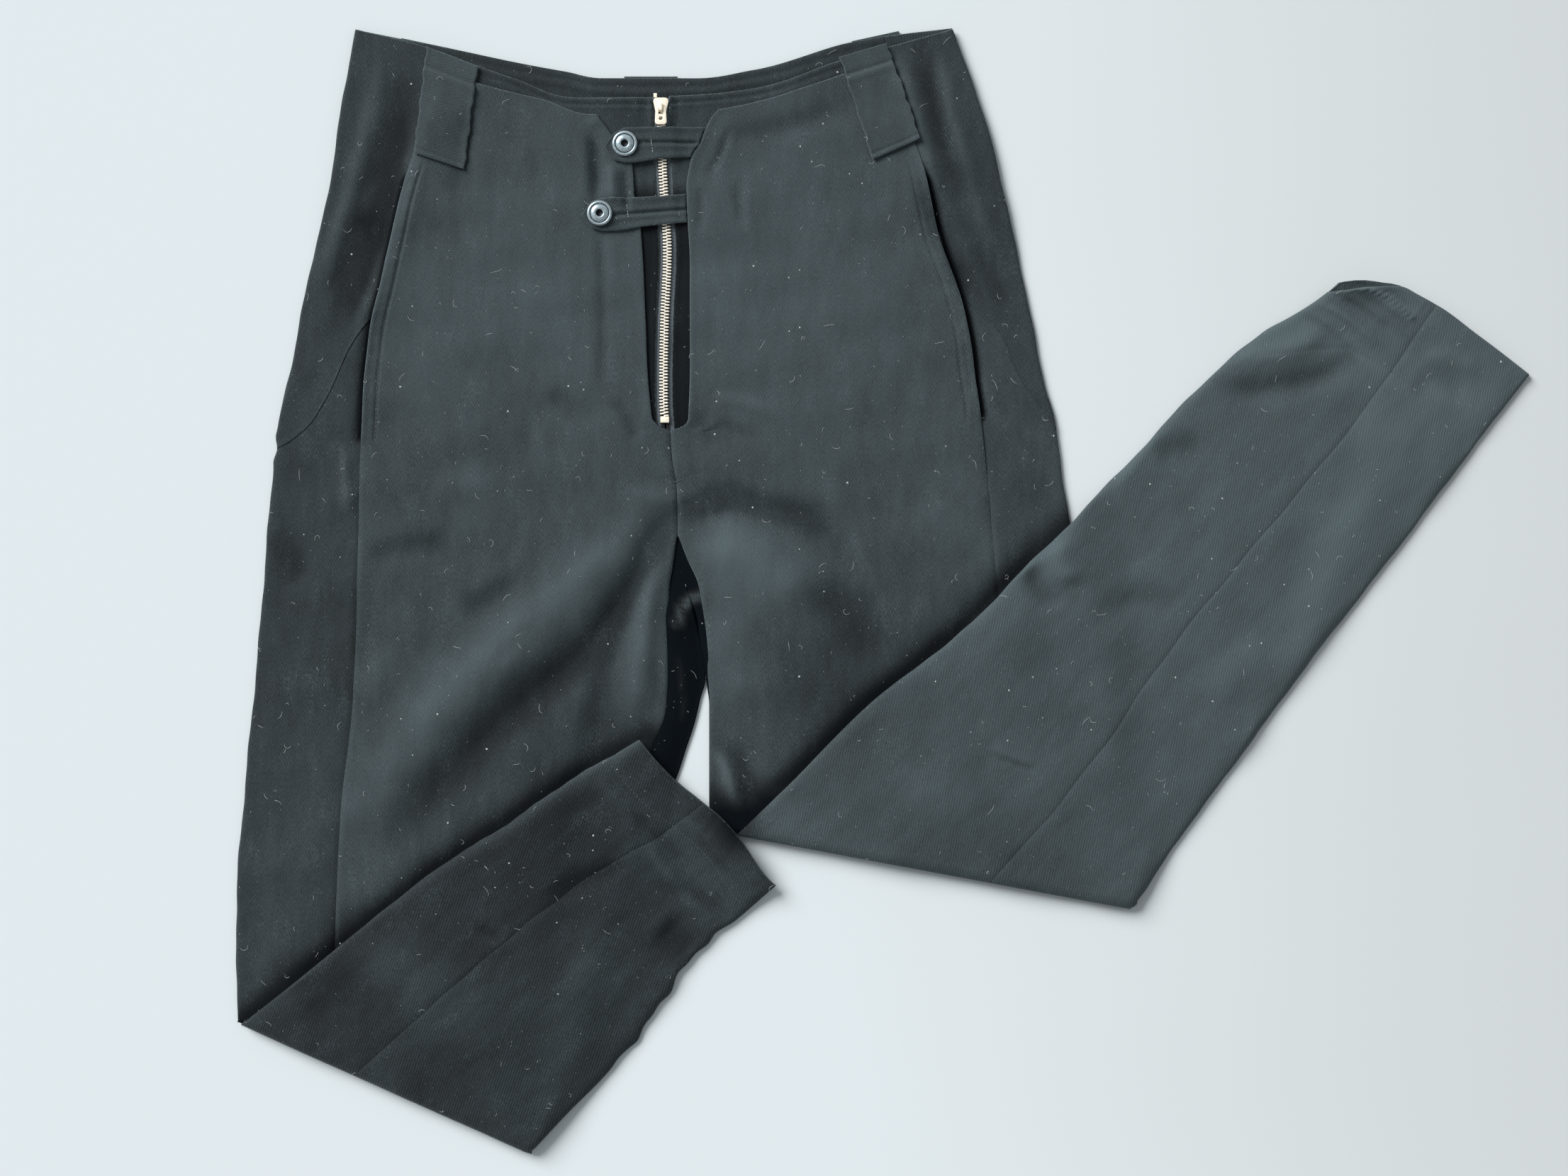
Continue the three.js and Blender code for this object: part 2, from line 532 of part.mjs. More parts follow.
// The slider: two plates joined by a wedge between the tapes, and a bridge that holds the pull tab
const sliderX = zip(PULL_Y);
const seat = frontHeight(sliderX, PULL_Y);
const plateFloor = seat - TAPE_REST - TAPE - UNDER_PLATE_GAP - PLATE;
const plateRoof = seat + CHAIN_TALL + OVER_PLATE_GAP;
const hinge = plateRoof + PLATE + BRIDGE_GAP / 2;
function sliderPlate(z) {
  const outline = new THREE.Shape();
  outline.moveTo(-SLIDER_HALF + SLIDER_TAPER, SLIDER_FOOT);
  outline.lineTo(SLIDER_HALF - SLIDER_TAPER, SLIDER_FOOT);
  outline.lineTo(SLIDER_HALF, SLIDER_TOP - SLIDER_ROUND);
  outline.quadraticCurveTo(SLIDER_HALF, SLIDER_TOP, SLIDER_HALF - SLIDER_ROUND, SLIDER_TOP);
  outline.lineTo(SLIDER_ROUND - SLIDER_HALF, SLIDER_TOP);
  outline.quadraticCurveTo(-SLIDER_HALF, SLIDER_TOP, -SLIDER_HALF, SLIDER_TOP - SLIDER_ROUND);
  return new THREE.ExtrudeGeometry(outline, { depth: PLATE, bevelEnabled: false, curveSegments: 5 }).translate(0, 0, z);
}
const bridgeFrom = PULL_Y - BRIDGE_BEHIND;
const bridgeTo = PULL_Y + BRIDGE_AHEAD;
const bridgeRoof = plateRoof + PLATE + BRIDGE_GAP;
const wedgeTo = SLIDER_TOP - WEDGE_INSET;
const insidePlates = [plateFloor + PLATE / 2, plateRoof + PLATE / 2];
const postHeights = [plateRoof + PLATE / 2, bridgeRoof + BRIDGE_THICK / 2];
const slider = mesh('zip_slider', joined(
  sliderPlate(plateFloor),
  sliderPlate(plateRoof),
  box(-WEDGE_HALF, WEDGE_HALF, wedgeTo - WEDGE_LONG, wedgeTo, ...insidePlates),
  box(-BRIDGE_HALF, BRIDGE_HALF, bridgeFrom, bridgeFrom + BRIDGE_POST, ...postHeights),
  box(-BRIDGE_HALF, BRIDGE_HALF, bridgeTo - BRIDGE_POST, bridgeTo, ...postHeights),
  box(-BRIDGE_HALF, BRIDGE_HALF, bridgeFrom, bridgeTo, bridgeRoof, bridgeRoof + BRIDGE_THICK),
), BRASS);
slider.position.x = sliderX;
trousers.add(slider);

// The pull tab hangs on a bar under the bridge and lies down along the zip
function pullOutline() {
  const end = PULL_HALF - PULL_SHOULDER;
  const waist = PULL_HALF - PULL_WAIST;
  const shoulder = -1.5;
  const outline = new THREE.Shape();
  outline.moveTo(-end, BAR);
  outline.lineTo(end, BAR);
  outline.quadraticCurveTo(waist - 0.1, BAR, waist, shoulder);
  outline.lineTo(PULL_HALF, PULL_ROUND - PULL_LONG);
  outline.quadraticCurveTo(PULL_HALF, -PULL_LONG, PULL_HALF - PULL_ROUND, -PULL_LONG);
  outline.lineTo(PULL_ROUND - PULL_HALF, -PULL_LONG);
  outline.quadraticCurveTo(-PULL_HALF, -PULL_LONG, -PULL_HALF, PULL_ROUND - PULL_LONG);
  outline.lineTo(-waist, shoulder);
  outline.quadraticCurveTo(0.1 - waist, BAR, -end, BAR);
  return outline;
}
const pullPlate = new THREE.ExtrudeGeometry(pullOutline(), { depth: PULL_THICK, bevelEnabled: false, curveSegments: 6 })
  .translate(0, 0, -PULL_THICK / 2);
const pullEye = box(-EYE_HALF, EYE_HALF, -EYE_LONG, -BAR, -PULL_THICK, PULL_THICK);
const pullHole = new THREE.CylinderGeometry(HOLE_RADIUS, HOLE_RADIUS, 2 * PULL_THICK, 14)
  .rotateX(Math.PI / 2).translate(0, HOLE_Y, 0);
const pullShape = surface(solid(pullPlate).subtract(solid(pullEye)).subtract(solid(pullHole)));
const pull = mesh('zip_pull', pullShape, PULL_BRASS);
pull.position.set(sliderX, PULL_Y, hinge);
trousers.add(pull);

function stop(name, [wide, long, tall], x, y, z) {
  const made = mesh(name, box(-wide / 2, wide / 2, -long / 2, long / 2, 0, tall), BRASS);
  made.position.set(x, y, z);
  trousers.add(made);
}
stop('zip_stop_top', TOP_STOP, sliderX - TOP_STOP_ASIDE, TAPE_TOP - TOP_STOP[1], chainHeight(sliderX, TAPE_TOP));
const footY = ZIP_FOOT + BOTTOM_STOP_UP;
stop('zip_stop_bottom', BOTTOM_STOP, zip(footY), footY, chainHeight(zip(ZIP_FOOT), ZIP_FOOT));

// Tabs, buttons and belt loops ------------------------------------------------------------
const onFront = (x, y) => lapHeight(x, y) + CLOTH + REST;
const tabHeight = (x, y) => {
  const down = smooth((x - TAB_DOWN_FROM) / (TAB_DOWN_TO - TAB_DOWN_FROM));
  return lerp(onFront(x, y), frontHeight(x, y) + CLOTH + REST, down);
};
const upperTab = table('x low high', [
  [-176.5, 281, 283], [-174, 277.5, 287.5], [-169, 273.6, 292], [-160, 271.8, 294.6], [-140, 274.5, 295], [-110, 276, 295],
]);
const lowerTab = table('x low high', [
  [-190.5, 238, 240], [-188, 234.5, 244], [-183, 230.5, 248], [-174, 228.8, 250], [-150, 231.8, 250.6], [-120, 234.5, 253],
]);
const tabEnd = curve(flyLeft, 'y', 'x');
for (const [name, rows] of [['tab_upper', upperTab], ['tab_lower', lowerTab]]) {
  trousers.add(flatPanel(name, {
    left: curve(rows, 'x', 'low'), right: curve(rows, 'x', 'high'),
    top: (y) => tabEnd(y) - LONG_SEAM, bottom: () => rows[0].x,
    height: tabHeight, columns: 4, rows: 12, thickness: STRIP, plan: (across, along) => [along, across],
  }));
}

const buttonProfile = table('r z', [
  [0, 0], [7.6, 0], [8, 0.4], [8, 1.2], [7.3, 1.9], [6.5, 2.1], [6.2, 1.6], [5, 1.6], [4.6, 2.5], [3.9, 2.9],
  [2.3, 2.7], [1.6, 2.1], [1.4, 0.9], [0, 0.9],
]);
for (const [name, x, y] of [['button_upper', -163, 284], ['button_lower', -179, 240]]) {
  const profile = buttonProfile.map(({ r, z }) => new THREE.Vector2(r, z));
  const geometry = new THREE.LatheGeometry(profile, BUTTON_SIDES).rotateX(Math.PI / 2);
  const button = mesh(name, geometry, STEEL);
  button.position.set(x, y, tabHeight(x, y) + STRIP + REST);
  trousers.add(button);
}

// A strip between four corners, top left, top right, bottom right, bottom left
function strip(name, corners, height, under) {
  const columns = 3;
  const rows = 4;
  trousers.add(wall(name, columns, rows, (i, j) => {
    const [u, v] = [i / columns, j / rows];
    const [x, y] = [0, 1].map((k) => lerp(
      lerp(corners[0][k], corners[1][k], u), lerp(corners[3][k], corners[2][k], u), v,
    ));
    if (under) return { p: [x, y, height(x, y)], n: [0, 0, -1] };
    return { p: [x, y, height(x, y) + STRIP], n: [0, 0, 1] };
  }, STRIP));
}
const onGround = () => 0;
strip('loop_front_r', [[-289, 346], [-256, 333], [-265, 268], [-297, 278]], onFront, false);
strip('loop_front_l', [[-27, 339], [3, 348], [24, 287], [-6, 274]], onFront, false);
strip('loop_back_r', [[-306, 353], [-275, 346.5], [-283, 281], [-314, 288]], onGround, true);
strip('loop_back_c', [[-164, 328.5], [-130, 328.5], [-130, 262], [-164, 262]], onGround, true);
strip('loop_back_l', [[-19, 351], [11, 357.5], [20, 293], [-11, 286]], onGround, true);

const MIDDLE = [0.85, 0.32]; // middle of the laid-out garment in the axes of the tables above
trousers.position.set(-MIDDLE[0], -MIDDLE[1], 0);

export default trousers;
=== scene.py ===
import math

import bmesh
import bpy
import numpy as np
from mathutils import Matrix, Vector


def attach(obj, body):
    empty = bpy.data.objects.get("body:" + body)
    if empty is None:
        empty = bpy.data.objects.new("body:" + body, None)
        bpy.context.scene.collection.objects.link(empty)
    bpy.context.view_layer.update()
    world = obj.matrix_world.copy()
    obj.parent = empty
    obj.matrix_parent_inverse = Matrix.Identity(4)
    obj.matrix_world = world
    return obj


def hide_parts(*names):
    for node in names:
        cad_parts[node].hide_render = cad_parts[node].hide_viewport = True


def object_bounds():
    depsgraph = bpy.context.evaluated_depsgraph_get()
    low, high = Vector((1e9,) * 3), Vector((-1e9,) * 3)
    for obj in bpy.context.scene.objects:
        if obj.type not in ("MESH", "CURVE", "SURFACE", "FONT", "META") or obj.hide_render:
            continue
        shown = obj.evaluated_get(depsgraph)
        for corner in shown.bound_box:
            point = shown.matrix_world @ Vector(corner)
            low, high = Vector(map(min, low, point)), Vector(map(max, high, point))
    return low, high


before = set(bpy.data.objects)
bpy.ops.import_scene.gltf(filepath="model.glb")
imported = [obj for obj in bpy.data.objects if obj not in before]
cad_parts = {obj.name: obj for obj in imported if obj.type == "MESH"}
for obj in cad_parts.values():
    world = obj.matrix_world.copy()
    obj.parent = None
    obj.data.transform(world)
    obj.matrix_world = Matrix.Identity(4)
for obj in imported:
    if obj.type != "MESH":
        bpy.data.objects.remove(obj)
cadLow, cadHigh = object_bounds()
print("frame loaded:", len(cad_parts), "CAD nodes")

# Tables and heights are in millimetres, before the garment's middle is moved to the origin.
# +x is the wearer's left, +y the waist. In names, r and l are the wearer's.
middle = (0.85, 0.32)
millimetre = 0.001

layers = {
    "cloth": 1.2,  # wall of a single layer
    "strip": 1.5,  # wall of a loop or tab
    "tape": 0.6,
    "rest": 0.5,  # between layers that lie on each other
    "foldRest": 1.4,  # between a folded lower leg and the thigh
    "seam": 0.02,  # each side of a seam
    "rim": 2.0,  # underside of the front layer at the garment's edge
    "puff": 2.9,  # how much higher it lies inside
    "puffReach": 60.0,
    "roll": 2.2,  # extra height of a lower leg's rolled edge
    "rollReach": 14.0,
    "shinPuff": 1.0,
    "dropReach": 34.0,
    "legPuff": 2.4,  # the thighs stand higher than the hips by this much
    "leastRise": 1.45,  # a trough goes no deeper than this above the back layer's underside
    "pressed": 5.0,  # how far a folded lower leg presses the thigh down
    "pressedReach": 24.0,
    "loopLift": 1.8,
    "loopLiftFrom": 205.0,
    "loopLiftTo": 250.0,
    "lap": 1.7,
    "lapFrom": 36.0,
    "lapTo": 98.0,
    "edgeRound": 2.6,  # how far in from a leg's edge its rounding reaches
    "shinRound": 3.6,
    "kneeRound": 7.0,
}


# One array for each named column of some rows
def table(columns, rows):
    data = np.array(rows, float)
    return {name: data[:, i] for i, name in enumerate(columns.split())}


# From 0 to 1 with a slow start and end: three times the square less twice the cube
def smooth(t):
    t = np.clip(t, 0, 1)
    return t * t * (3 - 2 * t)


# The point that lies a share t of the way from a to b
def lerp(a, b, t):
    return a + (b - a) * t


# A bell curve: e to the power of minus the square
def bell(t):
    return np.exp(-t * t)


# 0 at an edge and 1 from the reach on, along a quarter of an ellipse
def roundOff(distance, reach):
    return np.sqrt(np.clip(1 - (1 - np.clip(distance / reach, 0, 1)) ** 2, 0, 1))


# One column of a table as a function of another: a cubic through the points whose slope at each is the
# harmonic mean of the steps beside it, so it never overshoots them
def curve(rows, key, column):
    x, y = rows[key], rows[column]
    step = np.diff(y) / np.diff(x)
    slope = np.empty_like(y)
    slope[0], slope[-1] = step[0], step[-1]
    same = step[:-1] * step[1:]
    total = np.where(same > 0, step[:-1] + step[1:], 1)
    slope[1:-1] = np.where(same > 0, 2 * same / total, 0)

    def at(value):
        value = np.asarray(value, float)
        i = np.clip(np.searchsorted(x, value) - 1, 0, len(x) - 2)
        width = x[i + 1] - x[i]
        t = np.clip((value - x[i]) / width, 0, 1)
        start = y[i] + slope[i] * width * t
        end = y[i + 1] - slope[i + 1] * width * (1 - t)
        return lerp(start, end, smooth(t))

    return at


# A line with small waves added: each wave is its height times a sine over its length, within its stretch
def ruffled(line, ripples):
    def at(value):
        value = np.asarray(value, float)
        total = line(value)
        for start, end, length, height, phase in ripples:
            within = smooth((value - start) / 12) * smooth((end - value) / 12)
            total = total + height * within * np.sin(2 * math.pi * value / length + phase)
        return total

    return at


# Distance from a chain of straight pieces, and whether a point is within it where it is closed
def distanceTo(points, closed=False):
    a = np.array(points, float)
    b = np.roll(a, -1, axis=0)
    if not closed:
        a, b = a[:-1], b[:-1]
    run = b - a
    squared = (run**2).sum(1)

    def at(x, y):
        shape = np.broadcast(x, y).shape
        px = np.broadcast_to(x, shape).reshape(-1, 1)
        py = np.broadcast_to(y, shape).reshape(-1, 1)
        t = np.clip(((px - a[:, 0]) * run[:, 0] + (py - a[:, 1]) * run[:, 1]) / squared, 0, 1)
        far = np.hypot(px - a[:, 0] - run[:, 0] * t, py - a[:, 1] - run[:, 1] * t).min(1)
        if not closed:
            return far.reshape(shape)
        crossing = (a[:, 1] > py) != (b[:, 1] > py)
        rise = np.where(run[:, 1] == 0, 1, run[:, 1])
        within = (crossing & (px < a[:, 0] + run[:, 0] * (py - a[:, 1]) / rise)).sum(1) % 2 == 1
        return np.where(within, far, -far).reshape(shape)

    return at


# The garment's outline and seams, the same as the CAD part's
rightLeg = table("y outer seam", [
    [-358, -408, -352], [-292, -410, -351], [-210, -411, -347], [-142, -407, -344], [-67, -400, -336],
    [14, -393, -333], [63, -389, -332], [113, -383, -330], [153, -374, -327], [197, -366, -318],
    [233, -357, -310], [261, -351, -303], [282, -348, -297], [325, -341, -290], [358, -335, -285],
])
leftLeg = table("y outer seam", [
    [-202, 158, 102], [-136, 149, 96], [-72, 139, 90], [-6, 129, 75], [61, 117, 68], [110, 110, 63],
    [132, 104, 60], [176, 95, 53], [227, 84, 36], [270, 74, 26], [300, 66, 14], [345, 50, -4], [359, 45, -7],
])
rightInner = table("y front back", [
    [-358, -223, -223], [-292, -205, -205], [-210, -182, -182], [-142, -160, -142], [-99, -145, -124],
    [-67, -136, -115], [-53, -135.5, -112], [-1, -135, -112], [14, -133, -112], [36, -130, -112],
])
leftInner = table("y front back", [
    [-202, -80, -80], [-155, -95, -95], [-136, -110, -110], [-72, -110, -110], [-53, -111, -112],
    [-6, -115, -112], [23, -125, -112], [36, -130, -112],
])
frontCrotch = 36
backCrotch = -53
centreFront = table("y x", [[36, -130], [63, -130.3], [84, -133.3], [103, -134.5]])
centreBack = table("y x", [[-53, -112], [-20, -118], [36, -130], [100, -134], [327, -147]])
backWaist = table("x y", [
    [-335, 358], [-275, 346], [-200, 331], [-174, 327], [-129, 327], [-83, 332], [-19, 350], [45, 359],
])
underWaist = table("x y", [
    [-335, 358], [-289, 346], [-233, 326], [-186, 314], [-147, 314], [-133, 315], [-95, 318], [-28, 337],
    [45, 358],
])
frontWaistRight = table("x y", [[-290, 335], [-257, 323], [-213, 312], [-181, 303], [-130, 303]])
frontWaistLeft = table("x y", [[-140, 298], [-104, 306], [-80, 311], [-50, 320], [-26, 328], [12, 341]])
yokeSeamRight = table("x y", [[-387, 90], [-370, 101], [-354, 122], [-347, 136], [-335, 161], [-318, 180]])
yokeSeamLeft = table("x y", [[50, 190], [58, 181], [77, 160], [87, 137], [97, 122], [112, 102]])
zipMiddle = table("y x", [
    [100, -137], [127, -138.6], [173, -138], [216, -136.3], [233, -137], [275, -139.4], [320, -140.5],
])
flyRight = table("y x", [
    [102.5, -134.8], [104, -140], [107, -143.5], [112, -146], [173, -150], [230, -153], [252, -157],
    [268, -158],
    [292, -173], [303, -181],
])
flyLeft = table("y x", [
    [102.5, -134.2], [104, -129], [106, -125.5], [110, -123], [161, -122], [207, -122], [252, -124],
    [271, -122],
    [286, -115], [300, -109], [306, -104],
])
flyFoot = 102.5
flyRound = 112
underEdgeRight = table("y x", [
    [88, -172], [255, -176], [272, -196], [288, -260], [300, -289.5], [325, -286.5], [345, -283.5],
])
underEdgeLeft = table("y x", [[88, -98], [255, -95], [272, -76], [288, -22], [300, 8], [325, 0], [345, -9]])
underFoot = 90
underEdge = 5.2
zipLine = curve(zipMiddle, "y", "x")

rightShin = {
    "tag": "r",
    "origin": (-223, -358),
    "turn": 42,
    "outerSide": -1,
    "foldSlope": 82 / 185,
    "edges": table("along left seam right", [
        [-82, -185, -112, 0], [-38, -182, -113, 0], [22, -179, -113, -3], [79, -175, -112, -7],
        [126, -167, -109, -16],
        [175, -161, -101, -25], [205, -155, -95, -23], [234, -149, -93, -23],
    ]),
    "hem": table("across along", [[-150, 228], [-127, 227], [-96, 231], [-65, 234], [-31, 230], [-20, 231]]),
    "hemDepth": 24,
    "stitchSpan": (-150, -28),
    "ripples": {
        "left": [(20, 225, 41, 0.3, 0.4), (90, 225, 13, 0.15, 1.0)],
        "right": [(88, 190, 19, 0.7, 0.7), (70, 200, 34, 0.8, 2.1), (-40, 90, 54, 0.3, 0)],
        "seam": [(0, 225, 37, 0.3, 0.2)],
    },
    "gape": (-60, 30, 0.6),
}
leftShin = {
    "tag": "l",
    "origin": (158, -202),
    "turn": 49,
    "outerSide": 1,
    "foldSlope": 129 / 220,
    "edges": table("along left seam right", [
        [-129, -220, -79, 0], [-79, -216, -79, 0], [-16, -212, -79, 0], [60, -198, -81, -6],
        [126, -193, -88, -11],
        [200, -188, -92, -17], [289, -184, -94, -22], [331, -177, -96, -25], [388, -162, -102, -29],
        [424, -160, -106, -31],
    ]),
    "hem": table("across along", [
        [-169, 373], [-156, 386], [-142, 401], [-121, 415], [-74, 421], [-31, 424],
    ]),
    "hemUnder": table("across along", [[-169, 380], [-142, 406], [-121, 415], [-74, 421], [-31, 424]]),
    "hemDepth": 52,
    "stitchSpan": (-168, -38),
    "ripples": {
        "left": [(60, 360, 71, 0.5, 0.4), (0, 360, 23, 0.12, 1.0)],
        "right": [(0, 400, 57, 0.25, 0.7), (0, 400, 19, 0.1, 2.1)],
        "seam": [(0, 400, 61, 0.4, 0.2)],
    },
    "gape": (-152, 17, 3.4),
}


# Across and along a folded lower leg to the garment's axes, and back
def shinPlan(shin, across, along):
    a = math.radians(shin["turn"])
    x = shin["origin"][0] + along * math.cos(a) + across * math.sin(a)
    return x, shin["origin"][1] + along * math.sin(a) - across * math.cos(a)


# The same turn the other way: the offset from the origin, along and across
def shinAxes(shin, x, y):
    a = math.radians(shin["turn"])
    dx, dy = x - shin["origin"][0], y - shin["origin"][1]
    return dx * math.sin(a) - dy * math.cos(a), dx * math.cos(a) + dy * math.sin(a)


# Two columns side by side, as a list of points
def asPoints(a, b):
    return np.stack([a, b], axis=1).tolist()


openWaist = 460
bodyInside = distanceTo([
    (rightLeg["outer"][-1], openWaist),
    *[p for p in asPoints(rightLeg["outer"][::-1], rightLeg["y"][::-1]) if p[1] > -300],
    (-408, -275),
    (-223, -358),
    *asPoints(rightInner["front"][1:], rightInner["y"][1:]),
    *asPoints(leftInner["front"][1:-1][::-1], leftInner["y"][1:-1][::-1]),
    (-92, -155),
    (158, -202),
    *[p for p in asPoints(leftLeg["outer"], leftLeg["y"]) if p[1] > -190],
    (leftLeg["outer"][-1], openWaist),
], closed=True)


# Distance into a folded lower leg's outline, below 0 outside it
def shinOutline(shin):
    rows = shin["edges"]
    left = np.stack(shinPlan(shin, rows["left"], rows["along"]), axis=1)
    right = np.stack(shinPlan(shin, rows["right"], rows["along"]), axis=1)
    return distanceTo([*left, *right[::-1]], closed=True)


rightShinInside = shinOutline(rightShin)
leftShinInside = shinOutline(leftShin)

# Creases run from one point to another, bowed sideways: ridges, or troughs where the height is negative
bodyCreases = table("x0 y0 x1 y1 bow width height", [
    [-385, 43, -368, 2, 0, 9, -1.2], [-341, 94, -339, 45, 0, 4, 1.0],
    [-331, 19, -268, 30, 4, 8, -1.0], [-268, -17, -225, 10, 0, 8, -0.9], [-291, 61, -237, 66, 6, 10, 0.7],
    [-309, -29, -327, -75, 0, 12, 0.8], [-54, 9, 3, -50, 6, 15, -1.4], [-104, -7, -87, -79, 0, 18, 1.0],
    [26, 61, 53, 16, 0, 14, 0.7],
    [-109, -97, -90, -140, 3, 4, 1.6], [-102, -93, -82, -133, 3, 5, -1.2],
    [-298, 344, -356, 142, 10, 12, -2.4],
    [-334, 233, -351, 176, 2, 5, -1.5], [-291, 310, -337, 151, 6, 9, 1.5], [-318, 344, -363, 197, 8, 7, 1.0],
    [8, 350, 39, 242, 0, 6, 1.8], [26, 350, 58, 242, -3, 6, -1.8], [35, 355, 79, 188, -6, 7, 1.7],
    [21, 264, 71, 174, -4, 6, -1.2], [46, 287, 89, 160, -4, 6, -1.1], [-106, 287, -13, 310, -3, 7, -0.9],
    [-115, 259, -115, 226, 0, 2.2, -0.7], [-92, 264, -89, 228, 0, 3, -0.7],
    [-184, 296, -181, 240, 0, 3.5, -1.3],
    [-172, 273, -170, 246, 0, 2.5, 0.9], [-164, 271, -161, 238, 0, 2.5, -1.0],
    [-179, 244, -177, 120, 1, 4, -0.6], [-173, 124, -153, 93, 2, 4, -0.8],
    [-117, 118, -103, 88, -2, 4, -0.7], [-110, 124, -60, 111, 2, 5, 0.7], [-110, 106, -74, 95, 2, 4, -0.6],
    [-169, 66, -106, 61, -4, 6, 0.7], [-219, 124, -178, 106, 3, 7, -0.6], [-264, 314, -273, 242, 2, 8, -0.8],
    [-97, 298, -112, 263, 3, 2, -0.6], [-188, 296, -178, 300, 0, 2, 0.5], [-182, 291, -180, 251, 1, 3, -0.8],
])
rightShin["creases"] = table("x0 y0 x1 y1 bow width height", [
    [-114, 115, -93, 175, 3, 7, -1.2], [-75, 174, -22, 196, 4, 5, -1.1], [-105, 189, -31, 186, -3, 4, 0.9],
    [-131, 191, -61, 197, 3, 4, -0.8], [-55, 159, -24, 164, 0, 12, -1.4], [-132, 73, -111, 80, 0, 3, -0.7],
    [-115, 67, -116, 92, 0, 5, 0.5], [-169, 13, -100, 29, 0, 22, 1.2], [-163, -54, -140, 11, 6, 16, -0.8],
    [-78, 101, -31, 119, 0, 20, 0.9], [-87, -38, -65, 28, 0, 20, -0.7], [-97, 215, -68, 219, 0, 3, 0.6],
    [-79, 214, -33, 218, -2, 3, -0.6], [-156, 189, -110, 193, 2, 5, 0.7],
])
leftShin["creases"] = table("x0 y0 x1 y1 bow width height", [
    [-181, 282, -119, 366, -10, 8, -1.9], [-184, 306, -147, 367, -8, 8, 1.5],
    [-169, 357, -113, 358, 3, 2.4, -0.8],
    [-166, 369, -110, 373, 3, 2.2, 0.8], [-161, 379, -109, 385, 3, 2.4, -0.8],
    [-155, 390, -110, 397, 3, 2.2, 0.7],
    [-147, 398, -109, 406, 2, 2.5, -0.6], [-177, 226, -159, 257, 0, 9, -1.2],
    [-193, 124, -158, 115, -4, 6, -1.7],
    [-191, 149, -161, 131, -3, 9, 1.8], [-144, 122, -102, 171, 4, 9, -1.0], [-48, 190, -47, 128, 0, 12, 1.2],
    [-73, 327, -20, 152, 8, 14, 1.1], [-135, 17, -102, 29, -1.5, 1.6, -0.8],
    [-137, 20, -104, 31, -1.5, 3, 0.5],
    [-20, 150, -9, 104, 1, 2, 0.8], [-184, 189, -198, 260, 0, 12, 0.9], [-171, 50, -129, 98, 0, 16, -0.8],
    [-165, -47, -105, -12, 4, 18, 0.8], [-81, 98, -50, 35, 0, 18, -0.7], [-86, 369, -50, 389, 3, 9, -1.0],
    [-93, 387, -53, 404, 3, 6, 0.8], [-98, 324, -48, 343, 0, 14, 1.0],
])


# Sum of creases: each is its height, times a bell curve of the distance from its bowed line over its width,
# times a slow start and end along it
def creaseField(rows):
    x0, y0, x1, y1, bow, width, height = (rows[k] for k in "x0 y0 x1 y1 bow width height".split())
    length = np.hypot(x1 - x0, y1 - y0)
    ux, uy = (x1 - x0) / length, (y1 - y0) / length

    def at(x, y):
        dx, dy = x[..., None] - x0, y[..., None] - y0
        t = (dx * ux + dy * uy) / length
        aside = dy * ux - dx * uy - bow * 4 * t * (1 - t)
        ends = smooth(t / 0.3) * smooth((1 - t) / 0.3)
        return (height * bell(aside / width) * ends).sum(-1)

    return at


# The few big folds run along chains of points, each with its own width and height there
bigFolds = [
    [[-136, 68, 10, 0], [-171.5, 21, 15, 4.2], [-219.5, -19.4, 19, 5.0], [-277, -72, 19, 4.2],
     [-315, -115, 17, 2.4], [-336, -150, 14, 0]],
    [[-133, 52, 7, 0], [-152.5, 9.5, 9, -4.4], [-181, -34, 11, -4.6], [-234, -77, 14, -4.6],
     [-286, -130, 15, -3.6], [-312, -168, 12, 0]],
    [[-140, 30, 7, 0], [-146, 4.5, 9, 3.6], [-153, -45, 9, 3.2], [-160, -95, 8, 0]],
    [[-168, -5, 6, 0], [-174, -36, 7, -2.6], [-181, -86, 8, -2.4], [-186, -112, 8, 0]],
    [[-132, 40, 6, 0], [-120, 52, 8, -3.2], [-94.7, 58, 9, -5.0], [-46.8, 46, 10, -4.2], [-14, 16, 12, 0]],
    [[-126, 22, 9, 0], [-94.7, 24, 16, 3.6], [-60, 6, 18, 3.4], [-28, -34, 18, 0]],
    [[-100, -100, 4, 0], [-96, -122, 5, 2.4], [-88, -142, 5, 0]],
    [[-92, -96, 5, 0], [-85, -124, 7, -3.4], [-62, -140, 8, -3.4], [-40, -136, 8, 0]],
]


# Sum of folds: at each point a fold gives its height there times a bell of the distance over its width
def foldField(folds):
    chains = [np.array(fold, float) for fold in folds]

    def at(x, y):
        total = np.zeros(np.broadcast(x, y).shape)
        for chain in chains:
            a, run = chain[:-1], np.diff(chain, axis=0)
            dx, dy = x[..., None] - a[:, 0], y[..., None] - a[:, 1]
            squared = run[:, 0] ** 2 + run[:, 1] ** 2
            t = np.clip((dx * run[:, 0] + dy * run[:, 1]) / squared, 0, 1)
            far = np.hypot(dx - t * run[:, 0], dy - t * run[:, 1])
            width, height = a[:, 2] + t * run[:, 2], a[:, 3] + t * run[:, 3]
            value = height * bell(far / width)
            pick = np.abs(value).argmax(-1)[..., None]
            total += np.take_along_axis(value, pick, -1)[..., 0]
        return total

    return at


smallCreases, bigFold = creaseField(bodyCreases), foldField(bigFolds)


# All creases of the hips and thighs: the small ones and the big folds, each times its strength
def bodyCrease(x, y):
    return 2.2 * smallCreases(x, y) + 1.15 * bigFold(x, y)


for shinLeg in (rightShin, leftShin):
    shinLeg["crease"] = creaseField(shinLeg["creases"])

